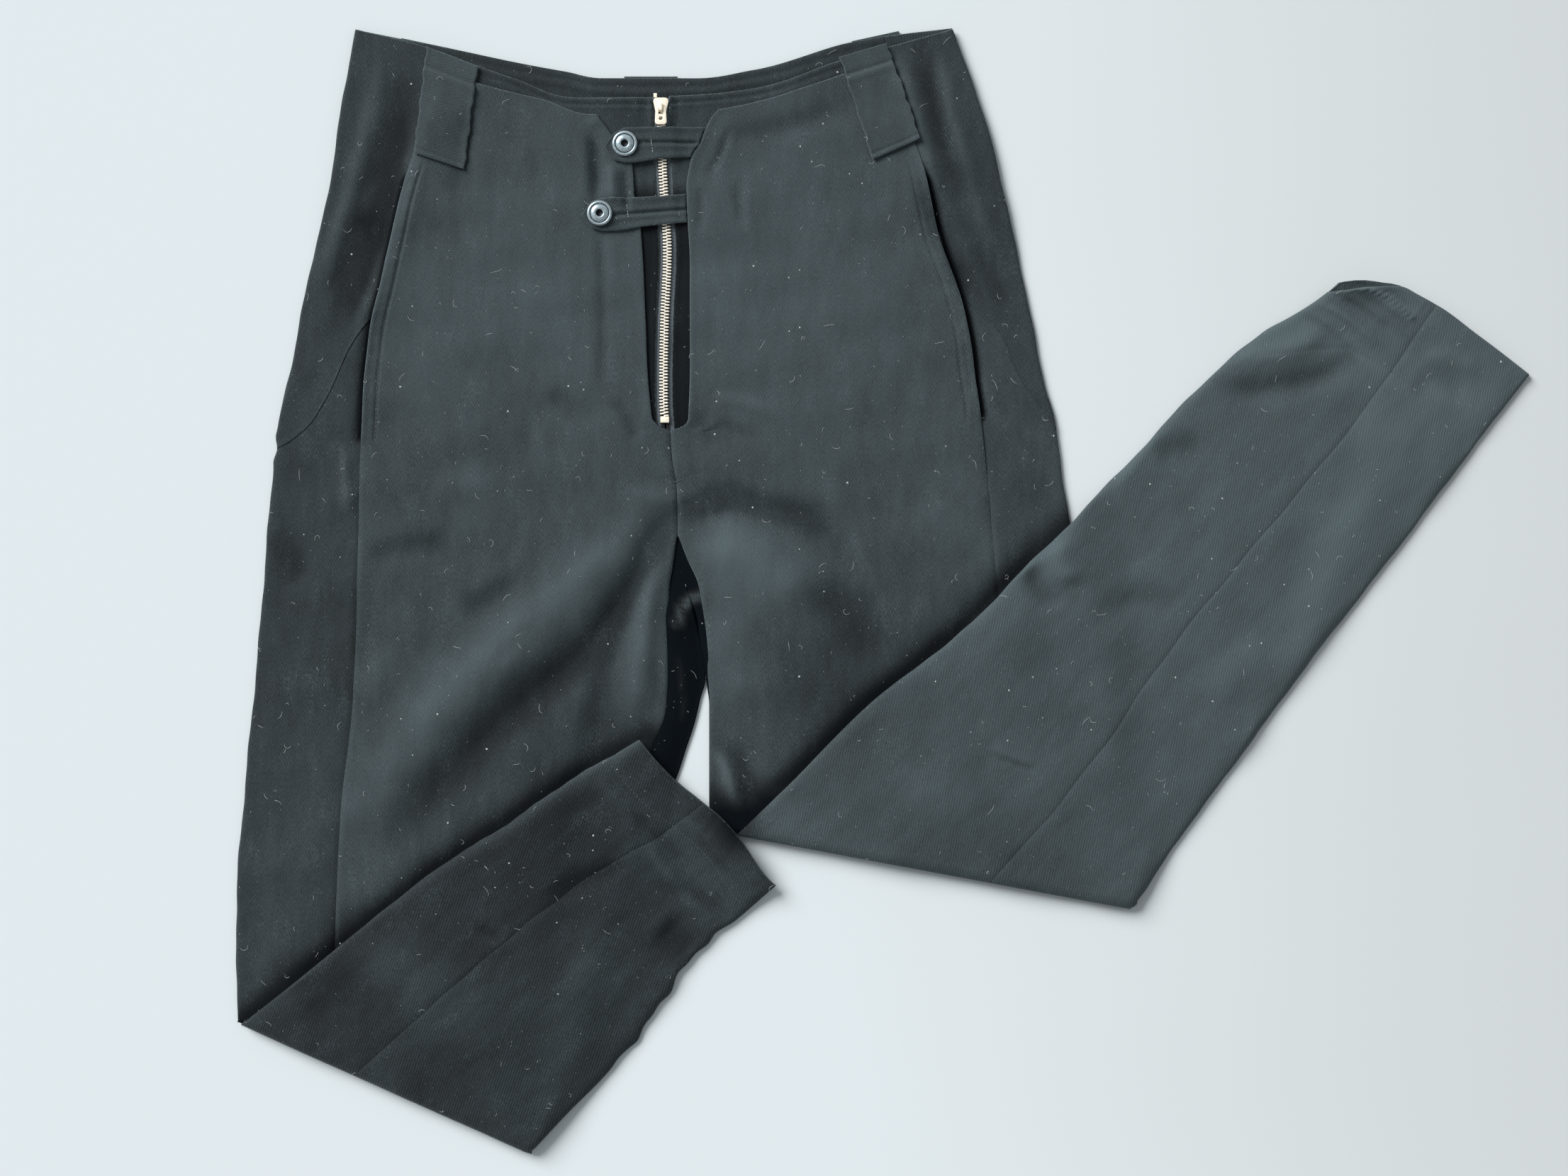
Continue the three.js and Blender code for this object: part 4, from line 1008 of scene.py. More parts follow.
# Wool: ribs, fuzz, blotches, dusting and tone added into one shade between two colours, then paler free
# edges, then lint.
# The tone carries painted light and shade, and the paler free edges are worn fuzz that is also a painted
# highlight.
def makeWool(name, look):
    material, tree, shader = newMaterial(name)
    grain = add(tree, "ShaderNodeUVMap", uv_map="grain").outputs[0]
    spot = add(tree, "ShaderNodeTexCoord").outputs["Object"]
    ribs = putGroup(
        tree, twillRibs, {"Vector": grain}, {"Pitch": look["pitch"], "Slant": look["slant"]}
    ).outputs["Ribs"]
    streaked = add(tree, "ShaderNodeMapping", {"Scale": (1.5, 0.6, 1.0)}, {"Vector": grain}).outputs[0]
    nap = putGroup(tree, napMottle, {"Vector": streaked})
    tone = add(tree, "ShaderNodeAttribute", attribute_name="tone").outputs["Fac"]
    shade = calc(tree, "MULTIPLY_ADD", ribs, 0.14, calc(tree, "MULTIPLY", nap.outputs["Fuzz"], 0.85))
    shade = calc(tree, "MULTIPLY_ADD", nap.outputs["Blotch"], 0.75, shade)
    shade = calc(tree, "MULTIPLY_ADD", nap.outputs["Dusting"], 0.28, shade)
    shade = calc(tree, "MULTIPLY_ADD", tone, 0.45, shade)
    base = mixColour(tree, ramp(tree, shade, 0.3, 1.45), look["dark"], look["light"])
    # Free edges are paler: worn fuzz, and a painted highlight where the fuzz catches the light
    edge = add(tree, "ShaderNodeAttribute", attribute_name="freeEdge").outputs["Fac"]
    ragged = calc(tree, "MULTIPLY_ADD", noise(tree, spot, 420.0, 2.0), 1.2, edge)
    rimMask = ramp(tree, ragged, 0.35, 1.35, 0.75, 0.0)
    base = mixColour(tree, rimMask, base, look["edge"])
    specks = putGroup(
        tree, lintSpecks, {"Vector": spot}, {"Cells": 130.0, "Size": 0.055, "Share": 0.24}
    ).outputs["Mask"]
    dust = putGroup(
        tree, lintSpecks, {"Vector": spot}, {"Cells": 420.0, "Size": 0.09, "Share": 0.12}
    ).outputs["Mask"]
    lint = calc(tree, "MAXIMUM", calc(tree, "MULTIPLY", specks, 0.75), calc(tree, "MULTIPLY", dust, 0.3))
    base = mixColour(tree, lint, base, look["lint"])
    connect(tree, base, shader.inputs["Base Color"])
    connect(tree, ramp(tree, nap.outputs["Blotch"], 0.2, 0.8, 0.78, 0.93), shader.inputs["Roughness"])
    # Where the tone holds deep painted shade, specular and sheen fade too, so that shade reads darker still
    connect(tree, ramp(tree, tone, -2.2, -0.6, 0.04, 0.3), shader.inputs["Specular IOR Level"])
    connect(tree, ramp(tree, tone, -2.2, -0.4, 0.0, look["sheen"]), shader.inputs["Sheen Weight"])
    shader.inputs["Sheen Roughness"].default_value = 0.45
    shader.inputs["Sheen Tint"].default_value = (0.75, 0.86, 0.9, 1)
    height = calc(tree, "MULTIPLY_ADD", nap.outputs["Fuzz"], 1.2, calc(tree, "MULTIPLY", ribs, 0.6))
    rise = calc(tree, "MULTIPLY_ADD", nap.outputs["Blotch"], 5.0, height)
    roughen(tree, shader, 0.7, 0.0003, rise)
    return material


tapeLook = {"dark": (0.012, 0.014, 0.016), "edge": (0.16, 0.2, 0.23)}


# Woven tape with a paler stripe beside its free edge
def makeTape():
    material, tree, shader = newMaterial("zipTapeWeave")
    grain = add(tree, "ShaderNodeUVMap", uv_map="grain").outputs[0]
    weave = putGroup(
        tree, twillRibs, {"Vector": grain}, {"Pitch": 0.0009, "Slant": (0.0, 1.0, 0), "Wander": 0.0001}
    ).outputs["Ribs"]
    edge = add(tree, "ShaderNodeAttribute", attribute_name="freeEdge").outputs["Fac"]
    stripe = calc(tree, "MULTIPLY", ramp(tree, edge, 4.4, 5.4, 1.0, 0.0), ramp(tree, edge, 2.4, 3.0))
    mask = calc(tree, "MULTIPLY", stripe, ramp(tree, weave, 0.0, 1.0, 0.45, 1.0))
    connect(tree, mixColour(tree, mask, tapeLook["dark"], tapeLook["edge"]), shader.inputs["Base Color"])
    connect(tree, ramp(tree, weave, 0.0, 1.0, 0.6, 0.8), shader.inputs["Roughness"])
    roughen(tree, shader, 0.6, 0.0002, weave)
    return material


# Metal between a bright and a dull colour, with fine scratches in its roughness and bump
def makeMetal(name, bright, dull, roughness, scale=900.0, metallic=1.0):
    material, tree, shader = newMaterial(name)
    spot = add(tree, "ShaderNodeTexCoord").outputs["Object"]
    grain = putGroup(tree, metalGrain, {"Vector": spot}, {"Scale": scale})
    connect(
        tree, mixColour(tree, ramp(tree, grain.outputs["Dull"], 0.35, 0.7), bright, dull),
        shader.inputs["Base Color"]
    )
    shader.inputs["Metallic"].default_value = metallic
    connect(
        tree, ramp(tree, grain.outputs["Scratch"], 0.25, 0.75, roughness, roughness + 0.16),
        shader.inputs["Roughness"]
    )
    roughen(tree, shader, 0.25, 0.00004, grain.outputs["Scratch"])
    return material


# Thread whose twist is a fine noise between two colours
def makeThread(name, dark, light):
    material, tree, shader = newMaterial(name)
    spot = add(tree, "ShaderNodeTexCoord").outputs["Object"]
    twist = noise(tree, spot, 2600.0, 1.0)
    connect(tree, mixColour(tree, ramp(tree, twist, 0.3, 0.7), dark, light), shader.inputs["Base Color"])
    connect(tree, ramp(tree, twist, 0.2, 0.8, 0.5, 0.75), shader.inputs["Roughness"])
    shader.inputs["Sheen Weight"].default_value = 0.2
    return material


wool = makeWool("woolTwill", woolLook)
loopWool = makeWool("loopTwill", {**woolLook, "slant": (-0.6, 0.8, 0), "pitch": 0.0013})
tapeWeave = makeTape()
# The brass is pale and hardly metallic, a painted reflection standing in for the glint of metal; the teeth
# are paler still, painted light against the shade of the fly opening. The buttons are only partly metallic,
# so their pale colour is in part painted reflection.
zipBrass = makeMetal("zipBrass", (1.0, 0.94, 0.79), (0.97, 0.86, 0.67), 0.3, metallic=0.08)
toothBrass = makeMetal("toothBrass", (1.0, 0.97, 0.89), (0.99, 0.91, 0.77), 0.35, metallic=0.02)
buttonMetal = makeMetal("buttonMetal", (0.46, 0.56, 0.6), (0.32, 0.4, 0.43), 0.26, 700.0, 0.6)
# Near-black: painted shade in the button's groove and hole
buttonDark = makeMetal("buttonHole", (0.03, 0.034, 0.04), (0.015, 0.017, 0.02), 0.4, 700.0)
darkThread = makeThread("darkThread", (0.03, 0.036, 0.039), (0.07, 0.08, 0.085))
paleThread = makeThread("paleThread", (0.3, 0.31, 0.31), (0.5, 0.51, 0.51))
lintFibre = makeThread("lintFibre", (0.5, 0.52, 0.53), (0.75, 0.77, 0.77))
print("materials made")

jPoints = [
    (-177.4, 258), (-177.4, 132), (-175, 110), (-173.8, 90), (-163, 78.2), (-147, 71), (-131, 70),
    (-111, 76), (-100, 92),
]
jStitch = distanceTo(jPoints)
hipLook = {
    "cell": 2.3,
    "backCell": 3.4,
    "backWrap": 46,
    "pocketUnder": 13,
    "pocketEnd": {-1: 93, 1: 108},
    "underRunTo": 108,
    "pocketTop": 262,
    "pocketStitch": 8.6,
    "seamDip": 0.6,
    "seamReach": 2.8,
    "yokeRidge": 0.35,
    "pocketHollow": 2.3,
    "hollowWidth": 3.4,
    "underRunFrom": 52,
}
foldLines = {-1: (rightShin, (-408, -275), (-223, -358)), 1: (leftShin, (-92, -155), (158, -202))}


# Height of a knee fold at each x, on the straight line between its two ends
def foldLine(side, inset):
    _, (x0, y0), (x1, y1) = foldLines[side]
    return lambda x: lerp(y0, y1, (x - x0) / (x1 - x0)) + inset


outlineRipples = {
    -1: [(-340, 350, 23, 0.12, 0.3), (-340, 350, 67, 0.3, 1.1), (78, 106, 23, 1.3, 2.0)],
    1: [(-180, 350, 27, 0.12, 0.9), (-180, 350, 59, 0.25, 2.6)],
}


# The front, back, yoke and side panel of one leg, from the waist to the knee fold
def legPieces(side, rows, innerRows, flyEdge, frontWaist, yokeSeam):
    tag = "r" if side < 0 else "l"
    shin = foldLines[side][0]
    outer = ruffled(curve(rows, "y", "outer"), outlineRipples[side])
    seam = curve(rows, "y", "seam")
    frontInner = curve(innerRows, "y", "front")
    backInner = curve(innerRows, "y", "back")
    frontCentre, backCentre = curve(centreFront, "y", "x"), curve(centreBack, "y", "x")
    fly = curve(flyEdge, "y", "x")
    waistBack, waistUnder = curve(backWaist, "x", "y"), curve(underWaist, "x", "y")
    yoke = curve(yokeSeam, "x", "y")
    gap = layers["seam"]
    gape = 2.6 if side > 0 else 1.3  # how far the pocket's edge stands off
    yokeBack = 90 if side < 0 else 102

    def inner(y):
        return np.where(y > frontCrotch, frontCentre(y), frontInner(y)) + side * gap

    def backSeam(y):
        return outer(y) - side * hipLook["backWrap"]

    def pocket(y):
        reach = hipLook["pocketUnder"]
        return smooth((y - hipLook["pocketEnd"][side]) / 5) * smooth((hipLook["pocketTop"] - y) / reach + 1)

    # The yoke and side run on under the front, as a slow widening below the pocket's end
    def underFront(y):
        reach = hipLook["pocketUnder"]
        run = smooth((y - hipLook["underRunFrom"]) / (hipLook["underRunTo"] - hipLook["underRunFrom"]))
        return seam(y) + side * (gap - reach * run * smooth((hipLook["pocketTop"] - y) / reach + 1))

    # Under the front these pieces lie low enough for its wall, and beside the pocket's edge in a hollow
    def hollow(x, y, near):
        beside = side * (x - seam(y))
        lap = layers["lap"] * smooth((y - layers["lapFrom"]) / (layers["lapTo"] - layers["lapFrom"]))
        hidden = (layers["cloth"] + 0.35 - lap) * smooth(-beside / 2.5)
        inner = smooth((beside + 9) / 10)
        trench = np.where(beside < 1, inner, bell((beside - 1) / hipLook["hollowWidth"]))
        return hidden + hipLook["pocketHollow"] * pocket(y) * trench * smooth(near["outline"] / 15)

    # The outer front: it dips into its seams, its pocket edge stands off, and its fly edge is turned under
    def frontSurface(px, py, x, y, near):
        z = lapHeight(px, py) + layers["cloth"]
        opened = pocket(y)
        closed = 1 - smooth(opened / 0.3)
        z -= hipLook["seamDip"] * closed * (1 - smooth(near["left"] / hipLook["seamReach"]))
        z += opened * (0.5 + gape * bell((y - 205) / 42)) * bell(near["left"] / 9)
        z -= 0.8 * opened * bell((near["left"] - hipLook["pocketStitch"]) / 1.0)
        z += 0.26 * opened * np.sin(y * 0.9 + np.sin(y * 0.31) * 2) * bell((near["left"] - 4.5) / 4)
        z += 0.4 * opened * bell((near["left"] - 1.5) / 1.3)
        z -= 0.4 * bell(jStitch(px, py) / 1.3) * (side < 0)
        z -= 0.4 * bell(jStitch(px, py) / 1.3) * (side > 0) * smooth((92 - y) / 8)
        centre = smooth((y - frontCrotch + 4) / 4) * (y < flyFoot + 2)
        z -= 0.9 * centre * (1 - smooth(near["right"] / 3))
        legEdge = 1 - smooth((y - frontCrotch + 6) / 6)
        z -= legEdge * 2.2 * (1 - roundOff(near["right"], layers["edgeRound"] * 1.4))
        z += 0.35 * (y > flyFoot) * bell((near["right"] - 1.6) / 1.6)
        return z

    flatPanel(f"front_{tag}_cloth", {
        "left": lambda y: seam(y) - side * gap,
        "right": lambda y: np.where(y > flyFoot, fly(y), inner(y)),
        "top": curve(frontWaist, "x", "y"), "bottom": foldLine(side, 3.0),
        "levels": [flyRound, flyFoot, frontCrotch], "width": 170 if side < 0 else 150,
        "cell": hipLook["cell"],
        "surface": frontSurface, "free": ["top", "right"], "freeFrom": flyFoot, "openLeft": pocket,
        "fineTo": 13.0,
    })

    # The back lies on the surface, turns up at the knee fold, and rolls over along the leg's inner edge
    def backSurface(px, py, x, y, near):
        low = floorHeight(px, py)
        strip = np.maximum(4.0, side * (frontInner(y) - backInner(y)) + 4)
        into = np.clip(1 - near["right"] / (strip + 6), 0, 1)
        below = 1 - smooth((y + 20) / 30)
        low = low + 1.9 * below * np.sin(math.pi * into) ** 2
        low = low + 2.6 * bell((px + 124) / 9) * bell((py + 14) / 11) * (side < 0)
        low = low + 1.2 * below * (1 - roundOff(near["right"], 2.5))
        # the waist's turned-in edge shows as two low ridges
        low = (
            low + 0.55 * bell((near["top"] - 2.2) / 1.6)
            + 0.8 * bell((near["top"] - 8.5 - unevenness(px, py)) / 2)
        )
        return kneeTurn(shin, px, py, low)

    flatPanel(f"back_{tag}_cloth", {
        "left": lambda y: backSeam(y) - side * gap,
        "right": lambda y: np.where(y > backCrotch, backCentre(y), backInner(y))
        - side * 0.3 * (y > backCrotch),
        "top": waistBack, "bottom": foldLine(side, 0.1), "levels": [300, backCrotch],
        "width": 150, "cell": hipLook["backCell"], "topCell": 1.5, "surface": backSurface, "under": True,
        "free": ["top"],
    })

    def topFace(px, py, near):
        high = frontHeight(px, py) + layers["cloth"]
        half = (high - floorHeight(px, py)) / 2
        return high - half * (1 - roundOff(near["outline"], layers["edgeRound"]))

    def lowFace(px, py, near):
        high, low = frontHeight(px, py) + layers["cloth"], floorHeight(px, py)
        return low + (high - low) / 2 * (1 - roundOff(near["outline"], layers["edgeRound"]))

    def yokeHigh(px, py, x, y, near):
        z = topFace(px, py, near) + hipLook["yokeRidge"] * bell(near["bottom"] / 3) - hollow(x, y, near)
        swell = bell((y - 205) / 40) * smooth(near["outline"] / 12)
        return z + (1.6 if side > 0 else 0.6) * swell * bell((side * (x - seam(y)) - 15) / 7)

    def sideHigh(px, py, x, y, near):
        z = topFace(px, py, near) - 0.1 * bell(near["top"] / 2.5) - hollow(x, y, near)
        seamDip = (1 - pocket(y)) * (1 - smooth(near["seam"] / hipLook["seamReach"]))
        return z - hipLook["seamDip"] * seamDip * smooth(near["outline"] / 10)

    shared = {
        "seam": underFront, "outer": outer, "back": lambda y: backSeam(y) + side * gap,
        "topWidth": 60, "underWidth": hipLook["backWrap"], "cell": hipLook["cell"],
    }
    wrapPanel(f"yoke_{tag}_cloth", {
        **shared, "topEdge": waistUnder, "topEdgeUnder": waistBack, "middleY": 230.0,
        "bottomEdge": lambda x: yoke(x) + gap, "bottomEdgeUnder": level(yokeBack + gap),
        "high": yokeHigh, "low": lambda px, py, x, y, near: lowFace(px, py, near), "free": ["top"],
    })
    wrapPanel(f"side_{tag}_cloth", {
        **shared, "topEdge": lambda x: yoke(x) - gap, "topEdgeUnder": level(yokeBack - gap),
        "bottomEdge": foldLine(side, 2.5), "bottomEdgeUnder": foldLine(side, 0.1), "middleY": 0.0,
        "high": sideHigh, "low": lambda px, py, x, y, near: kneeTurn(shin, px, py, lowFace(px, py, near)),
        "free": [],
    })


legPieces(-1, rightLeg, rightInner, flyRight, frontWaistRight, yokeSeamRight)
legPieces(1, leftLeg, leftInner, flyLeft, frontWaistLeft, yokeSeamLeft)
print("seat, hips and thighs made")

shinLook = {
    "fineFrom": {"r": 140, "l": 320}, "cell": 2.3, "seamDip": 0.35, "underCell": 7.0, "wrap": 58,
    "hemRidge": 0.5
}


# The back, side and front panel of one folded lower leg
def shinPieces(shin):
    tag, side = shin["tag"], shin["outerSide"]
    left, right, seam = shin["leftAt"], shin["rightAt"], shin["seamAt"]
    outer, inner = (left, right) if side < 0 else (right, left)
    hem = curve(shin["hem"], "across", "along")
    hemUnder = curve(shin.get("hemUnder", shin["hem"]), "across", "along")
    gap = layers["seam"]
    plan = lambda across, along: shinPlan(shin, across, along)
    back = lambda along: outer(along) - side * shinLook["wrap"]
    gapeAt, gapeWidth, gapeHeight = shin["gape"]

    # Top of the lower leg: rounded edges, a ridge at the hem, a dip at its depth, and the curled corner
    def topFace(px, py, x, y, near):
        z = shinFace(shin, px, py, True)
        toSide = np.minimum(np.abs(x - left(y)), np.abs(right(y) - x))
        hemLine = np.where(toSide > 2, hem(x) - y, 99.0)
        z += shinLook["hemRidge"] * bell((near["top"] - 2.2) / 2.2)
        z -= 0.35 * bell((hemLine - shin["hemDepth"]) / 1.6) * smooth(toSide / 6)
        z += gapeHeight * bell(near["top"] / 13) * bell((x - gapeAt) / gapeWidth)
        ribbed = 1 + 0.35 * np.sin(2 * math.pi * (0.95 * x - 0.3 * y) / 3.4)
        z += 1.7 * bell(shin["rollLine"](x, y) / 2.2) * ribbed * smooth(near["top"] / 2)
        return z

    def backHigh(px, py, x, y, near):
        dip = shinLook["seamDip"] * (
            1 - smooth(near["left"] / hipLook["seamReach"])
        ) * smooth(near["bottom"] / 8)
        return topFace(px, py, x, y, near) - dip

    def sideHigh(px, py, x, y, near):
        dip = shinLook["seamDip"] * (
            1 - smooth(near["seam"] / hipLook["seamReach"])
        ) * smooth(near["bottom"] / 8)
        return topFace(px, py, x, y, near) - dip

    fold = lambda inset: (lambda across: shin["foldSlope"] * across + inset)
    flatPanel(f"shin_back_{tag}_cloth", {
        "left": lambda y: seam(y) - side * gap, "right": lambda y: inner(y),
        "top": hem, "bottom": fold(0.1), "width": 110 if side < 0 else 100, "cell": shinLook["cell"],
        "plan": plan, "surface": backHigh, "free": ["top"], "levels": [shinLook["fineFrom"][tag]],
        "topCell": 1.3,
    })
    wrapPanel(f"shin_side_{tag}_cloth", {
        "seam": lambda y: seam(y) + side * gap, "outer": outer, "back": lambda y: back(y) + side * gap,
        "topEdge": hem, "topEdgeUnder": hemUnder, "bottomEdge": fold(0.1), "bottomEdgeUnder": fold(4.0),
        "topWidth": 70, "underWidth": shinLook["wrap"], "cell": shinLook["cell"], "middleY": 100.0,
        "plan": plan, "high": sideHigh, "free": ["top"], "levels": [shinLook["fineFrom"][tag]],
        "topCell": 1.3,
        "low": lambda px, py, x, y, near: shinFace(shin, px, py, False),
    })
    flatPanel(f"shin_front_{tag}_cloth", {
        "left": lambda y: back(y) - side * gap, "right": lambda y: inner(y) + side * 0.6,
        "top": hemUnder, "bottom": fold(5.0), "width": 110, "cell": shinLook["underCell"], "plan": plan,
        "surface": lambda px, py, x, y, near: shinFace(shin, px, py, False), "under": True, "free": ["top"],
    })


shinPieces(rightShin)
shinPieces(leftShin)
print("lower legs made")

zipLook = {
    "tapeHalf": 12, "chainHalf": 2.75, "tall": 1.9, "pitch": 2.0, "from": 112.2, "to": 306.5,
    "tapeTop": 318, "wedge": 310,
    "toothLong": 3.15, "toothWide": 1.0,
}


# Underside of the zip tapes, just below the front layer's
def tapeHeight(x, y):
    return frontHeight(x, y) - 0.4 - layers["tape"]


for tag, side, edge in (("r", -1, underEdgeRight), ("l", 1, underEdgeLeft)):
    flatPanel(f"underlay_{tag}_cloth", {
        "left": curve(edge, "y", "x"), "right": lambda y, side=side: zipLine(y) + side * underEdge,
        "top": curve(underWaist, "x", "y"), "bottom": level(underFoot),
        "levels": [285], "topCell": 1.3, "width": 60, "cell": 2.6, "free": ["top", "right"],
        "surface": lambda px, py, x, y, near: (
            frontHeight(px, py) + layers["cloth"] + 0.3 * bell((near["right"] - 2) / 1.5)
            - 0.25 * bell((near["right"] - 4.5) / 1) + 0.35 * bell((near["top"] - 1.8) / 1.3)
            - 0.55 * bell((near["top"] - 4.6) / 0.9) + 0.3 * bell((near["top"] - 6.5) / 1.3)
            - 1.1 * bell((np.abs(px - zipLine(py)) - 9.5) / 1.6) * smooth((py - 292) / 8)
        ),
    })
    flatPanel(f"zip_tape_{tag}_cloth", {
        "left": lambda y, side=side: zipLine(y) + side * zipLook["tapeHalf"],
        "right": lambda y, side=side: zipLine(y)
        + side * (0.4 + 1.6 * smooth((y - zipLook["wedge"] + 3) / 3)),
        "top": level(zipLook["tapeTop"] - 4), "bottom": level(underFoot + 2),
        "width": 12, "cell": 2.0, "free": ["right"], "thickness": layers["tape"], "material": tapeWeave,
        "slot": "zip_tape",
        "surface": lambda px, py, x, y, near: tapeHeight(px, py) + layers["tape"],
    })


# Height of what lies on the outer front
def onFront(x, y):
    return lapHeight(x, y) + layers["cloth"] + layers["rest"]


# A tab lies on the outer front and comes down into the fly opening, where it lies on the underlay
def tabHeight(x, y):
    down = smooth((x + 134) / 10)
    return lerp(onFront(x, y), frontHeight(x, y) + layers["cloth"] + layers["rest"], down)


upperTab = table("x low high", [
    [-176.5, 281.7, 282.5], [-174.5, 279.6, 285], [-172, 275.6, 288.6], [-168, 273, 292],
    [-160, 271.8, 294.6], [-140, 274.5, 295], [-110, 276, 295],
])
lowerTab = table("x low high", [
    [-190.5, 238.8, 239.6], [-188.5, 236.6, 242], [-186, 232.6, 245.4], [-182, 230, 248.4],
    [-174, 228.8, 250], [-150, 231.8, 250.6], [-120, 234.5, 253],
])
tabSlit = {"upper": ((-154, 285), (-118, 284.6)), "lower": ((-171, 239), (-123, 242.5))}
flyLeftAt = curve(flyLeft, "y", "x")


# A tab: two raised edges and a slit between two low ridges
def makeTab(name, rows, slit):
    line = distanceTo(slit)
    flatPanel(f"tab_{name}_cloth", {
        "left": curve(rows, "x", "low"), "right": curve(rows, "x", "high"),
        "top": lambda y: flyLeftAt(y) - 0.3, "bottom": level(rows["x"][0]),
        "plan": lambda across, along: (along, across), "width": 20, "cell": 0.7, "thickness": layers["strip"],
        "free": ["left", "right", "bottom"], "material": loopWool,
        "surface": lambda px, py, x, y, near: (
            tabHeight(px, py) + layers["strip"] + 0.45 * bell((near["any"] - 1.5) / 1.4)
            - 1.25 * bell(line(px, py) / 1.0) + 0.35 * bell((line(px, py) - 2.6) / 1.3)
        ),
    })


makeTab("upper", upperTab, tabSlit["upper"])
makeTab("lower", lowerTab, tabSlit["lower"])


# A belt loop between four corners, top left, top right, bottom right, bottom left, with wavering edges
def makeLoop(name, corners, height, under, seed):
    rng = np.random.default_rng(seed)
    phase = rng.uniform(0, 6.28, 6)
    corner = np.array(corners, float)

    def edge(a, b, k):
        def at(v):
            t = 1 - v / 100
            waver = 0.35 * np.sin(t * 21 + phase[k]) + 0.25 * np.sin(t * 47 + phase[k + 2])
            return (
                lerp(corner[a, 0], corner[b, 0], t)
                + waver * (not under), lerp(corner[a, 1], corner[b, 1], t)
            )
        return at

    leftEdge, rightEdge = edge(0, 3, 0), edge(1, 2, 1)

    def plan(u, v):
        lx, ly = leftEdge(v)
        rx, ry = rightEdge(v)
        return lerp(lx, rx, u / 33), lerp(ly, ry, u / 33)

    def surface(px, py, x, y, near):
        if under:
            return np.zeros_like(px)
        along = y / 100 * 68
        z = height(px, py) + layers["strip"]
        step = smooth((along - 53.5) / 2.5)
        z = z - 1.1 * step + 0.35 * bell((along - 52) / 2) - 0.5 * bell((along - 56) / 1.3)
        z = z + 0.35 * bell((np.minimum(near["left"], near["right"]) - 1.2) / 1.2)
        hemFold = -0.5 * bell((along - 3.4) / 0.9) + 0.35 * bell((along - 1.4) / 1.2)
        return z + hemFold

    flatPanel(name, {
        "left": level(0), "right": level(33), "top": level(100), "bottom": level(0),
        "plan": plan, "width": 33, "cell": 1.4, "thickness": layers["strip"], "surface": surface,
        "under": under,
        "free": ["left", "right", "top", "bottom"], "material": loopWool,
    })


loops = {
    "loop_front_r": ([[-289, 346], [-256, 333], [-265, 268], [-297, 278]], onFront, False, 3),
    "loop_front_l": ([[-27, 339], [3, 348], [24, 287], [-6, 274]], onFront, False, 5),
    "loop_back_r": ([[-306, 353], [-275, 346.5], [-283, 281], [-314, 288]], None, True, 7),
    "loop_back_c": ([[-164, 328.5], [-130, 328.5], [-130, 262], [-164, 262]], None, True, 8),
    "loop_back_l": ([[-19, 351], [11, 357.5], [20, 293], [-11, 286]], None, True, 9),
}
for loopName, (corners, height, under, seed) in loops.items():
    makeLoop(f"{loopName}_cloth", corners, height, under, seed)
print("underlay, tapes, tabs and loops made")

for made in pieces:
    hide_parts(made.name.removesuffix("_cloth"))


# Copies of one small shape: each copy is the shape's points turned by its own frame and put at its own place
def copies(name, points, faces, frames, places, material, body="trousers", smoothFaces=True):
    count = len(points)
    spread = np.einsum("nij,kj->nki", frames, points) + places[:, None, :]
    index = (faces[None] + count * np.arange(len(places))[:, None, None]).reshape(-1, faces.shape[1])
    vertices = (spread.reshape(-1, 3) - [middle[0], middle[1], 0]) * millimetre
    return makePiece(name, vertices, index, material, body, smoothFaces=smoothFaces)


# One frame for each copy, upright, from the four numbers that turn its points in plan
def flatFrames(xx, xy, yx, yy):
    zero, one = np.zeros(len(xx)), np.ones(len(xx))
    rows = [(xx, xy, zero), (yx, yy, zero), (zero, zero, one)]
    return np.stack([np.stack(row, 1) for row in rows], 1)


# Quads between neighbouring rings of points, ring by ring
def ringQuads(sides, count):
    i = np.arange(sides)
    j = (i + 1) % sides
    ring = np.stack([i, j, sides + j, sides + i], 1)
    return np.concatenate([ring + k * sides for k in range(count - 1)])


# A tooth: a block whose ends and top corners are cut back, as a profile of eight points along three stations
def toothShape(long, wide, tall):
    profile = np.array([
        (-0.5, 0.15), (-0.5, 0.75), (-0.3, 1), (0.3, 1), (0.5, 0.75), (0.5, 0.15), (0.35, 0), (-0.35, 0),
    ]) * (wide, tall)
    stops = [(0.0, 0.72), (0.18, 1.0), (0.8, 1.0), (1.0, 0.62)]
    rings = [
        np.column_stack([np.full(8, s * long), profile[:, 0] * k, tall / 2 + (profile[:, 1] - tall / 2) * k])
        for s, k in stops
    ]
    return loft(rings)


# A closed form from rings of points, with its two ends closed by quads across them
def loft(rings):
    points = np.concatenate(rings)
    sides, count = len(rings[0]), len(rings)
    caps = []
    for k in range(1, sides // 2):
        a, b, c, d = k - 1, k, sides - k - 1, sides - k
        caps.append([d % sides, c, b, a])
        last = (count - 1) * sides
        caps.append([last + a, last + b, last + c, last + d % sides])
    return points, np.concatenate([ringQuads(sides, count), np.array(caps)])


# Faces turned round where the volume that they enclose comes out negative
def outwards(points, faces):
    centre = points.mean(0)
    a, b, c = points[faces[:, 0]], points[faces[:, 1]], points[faces[:, 2]]
    volume = np.einsum("ij,ij->i", a - centre, np.cross(b - centre, c - centre)).sum()
    return faces if volume > 0 else faces[:, ::-1]


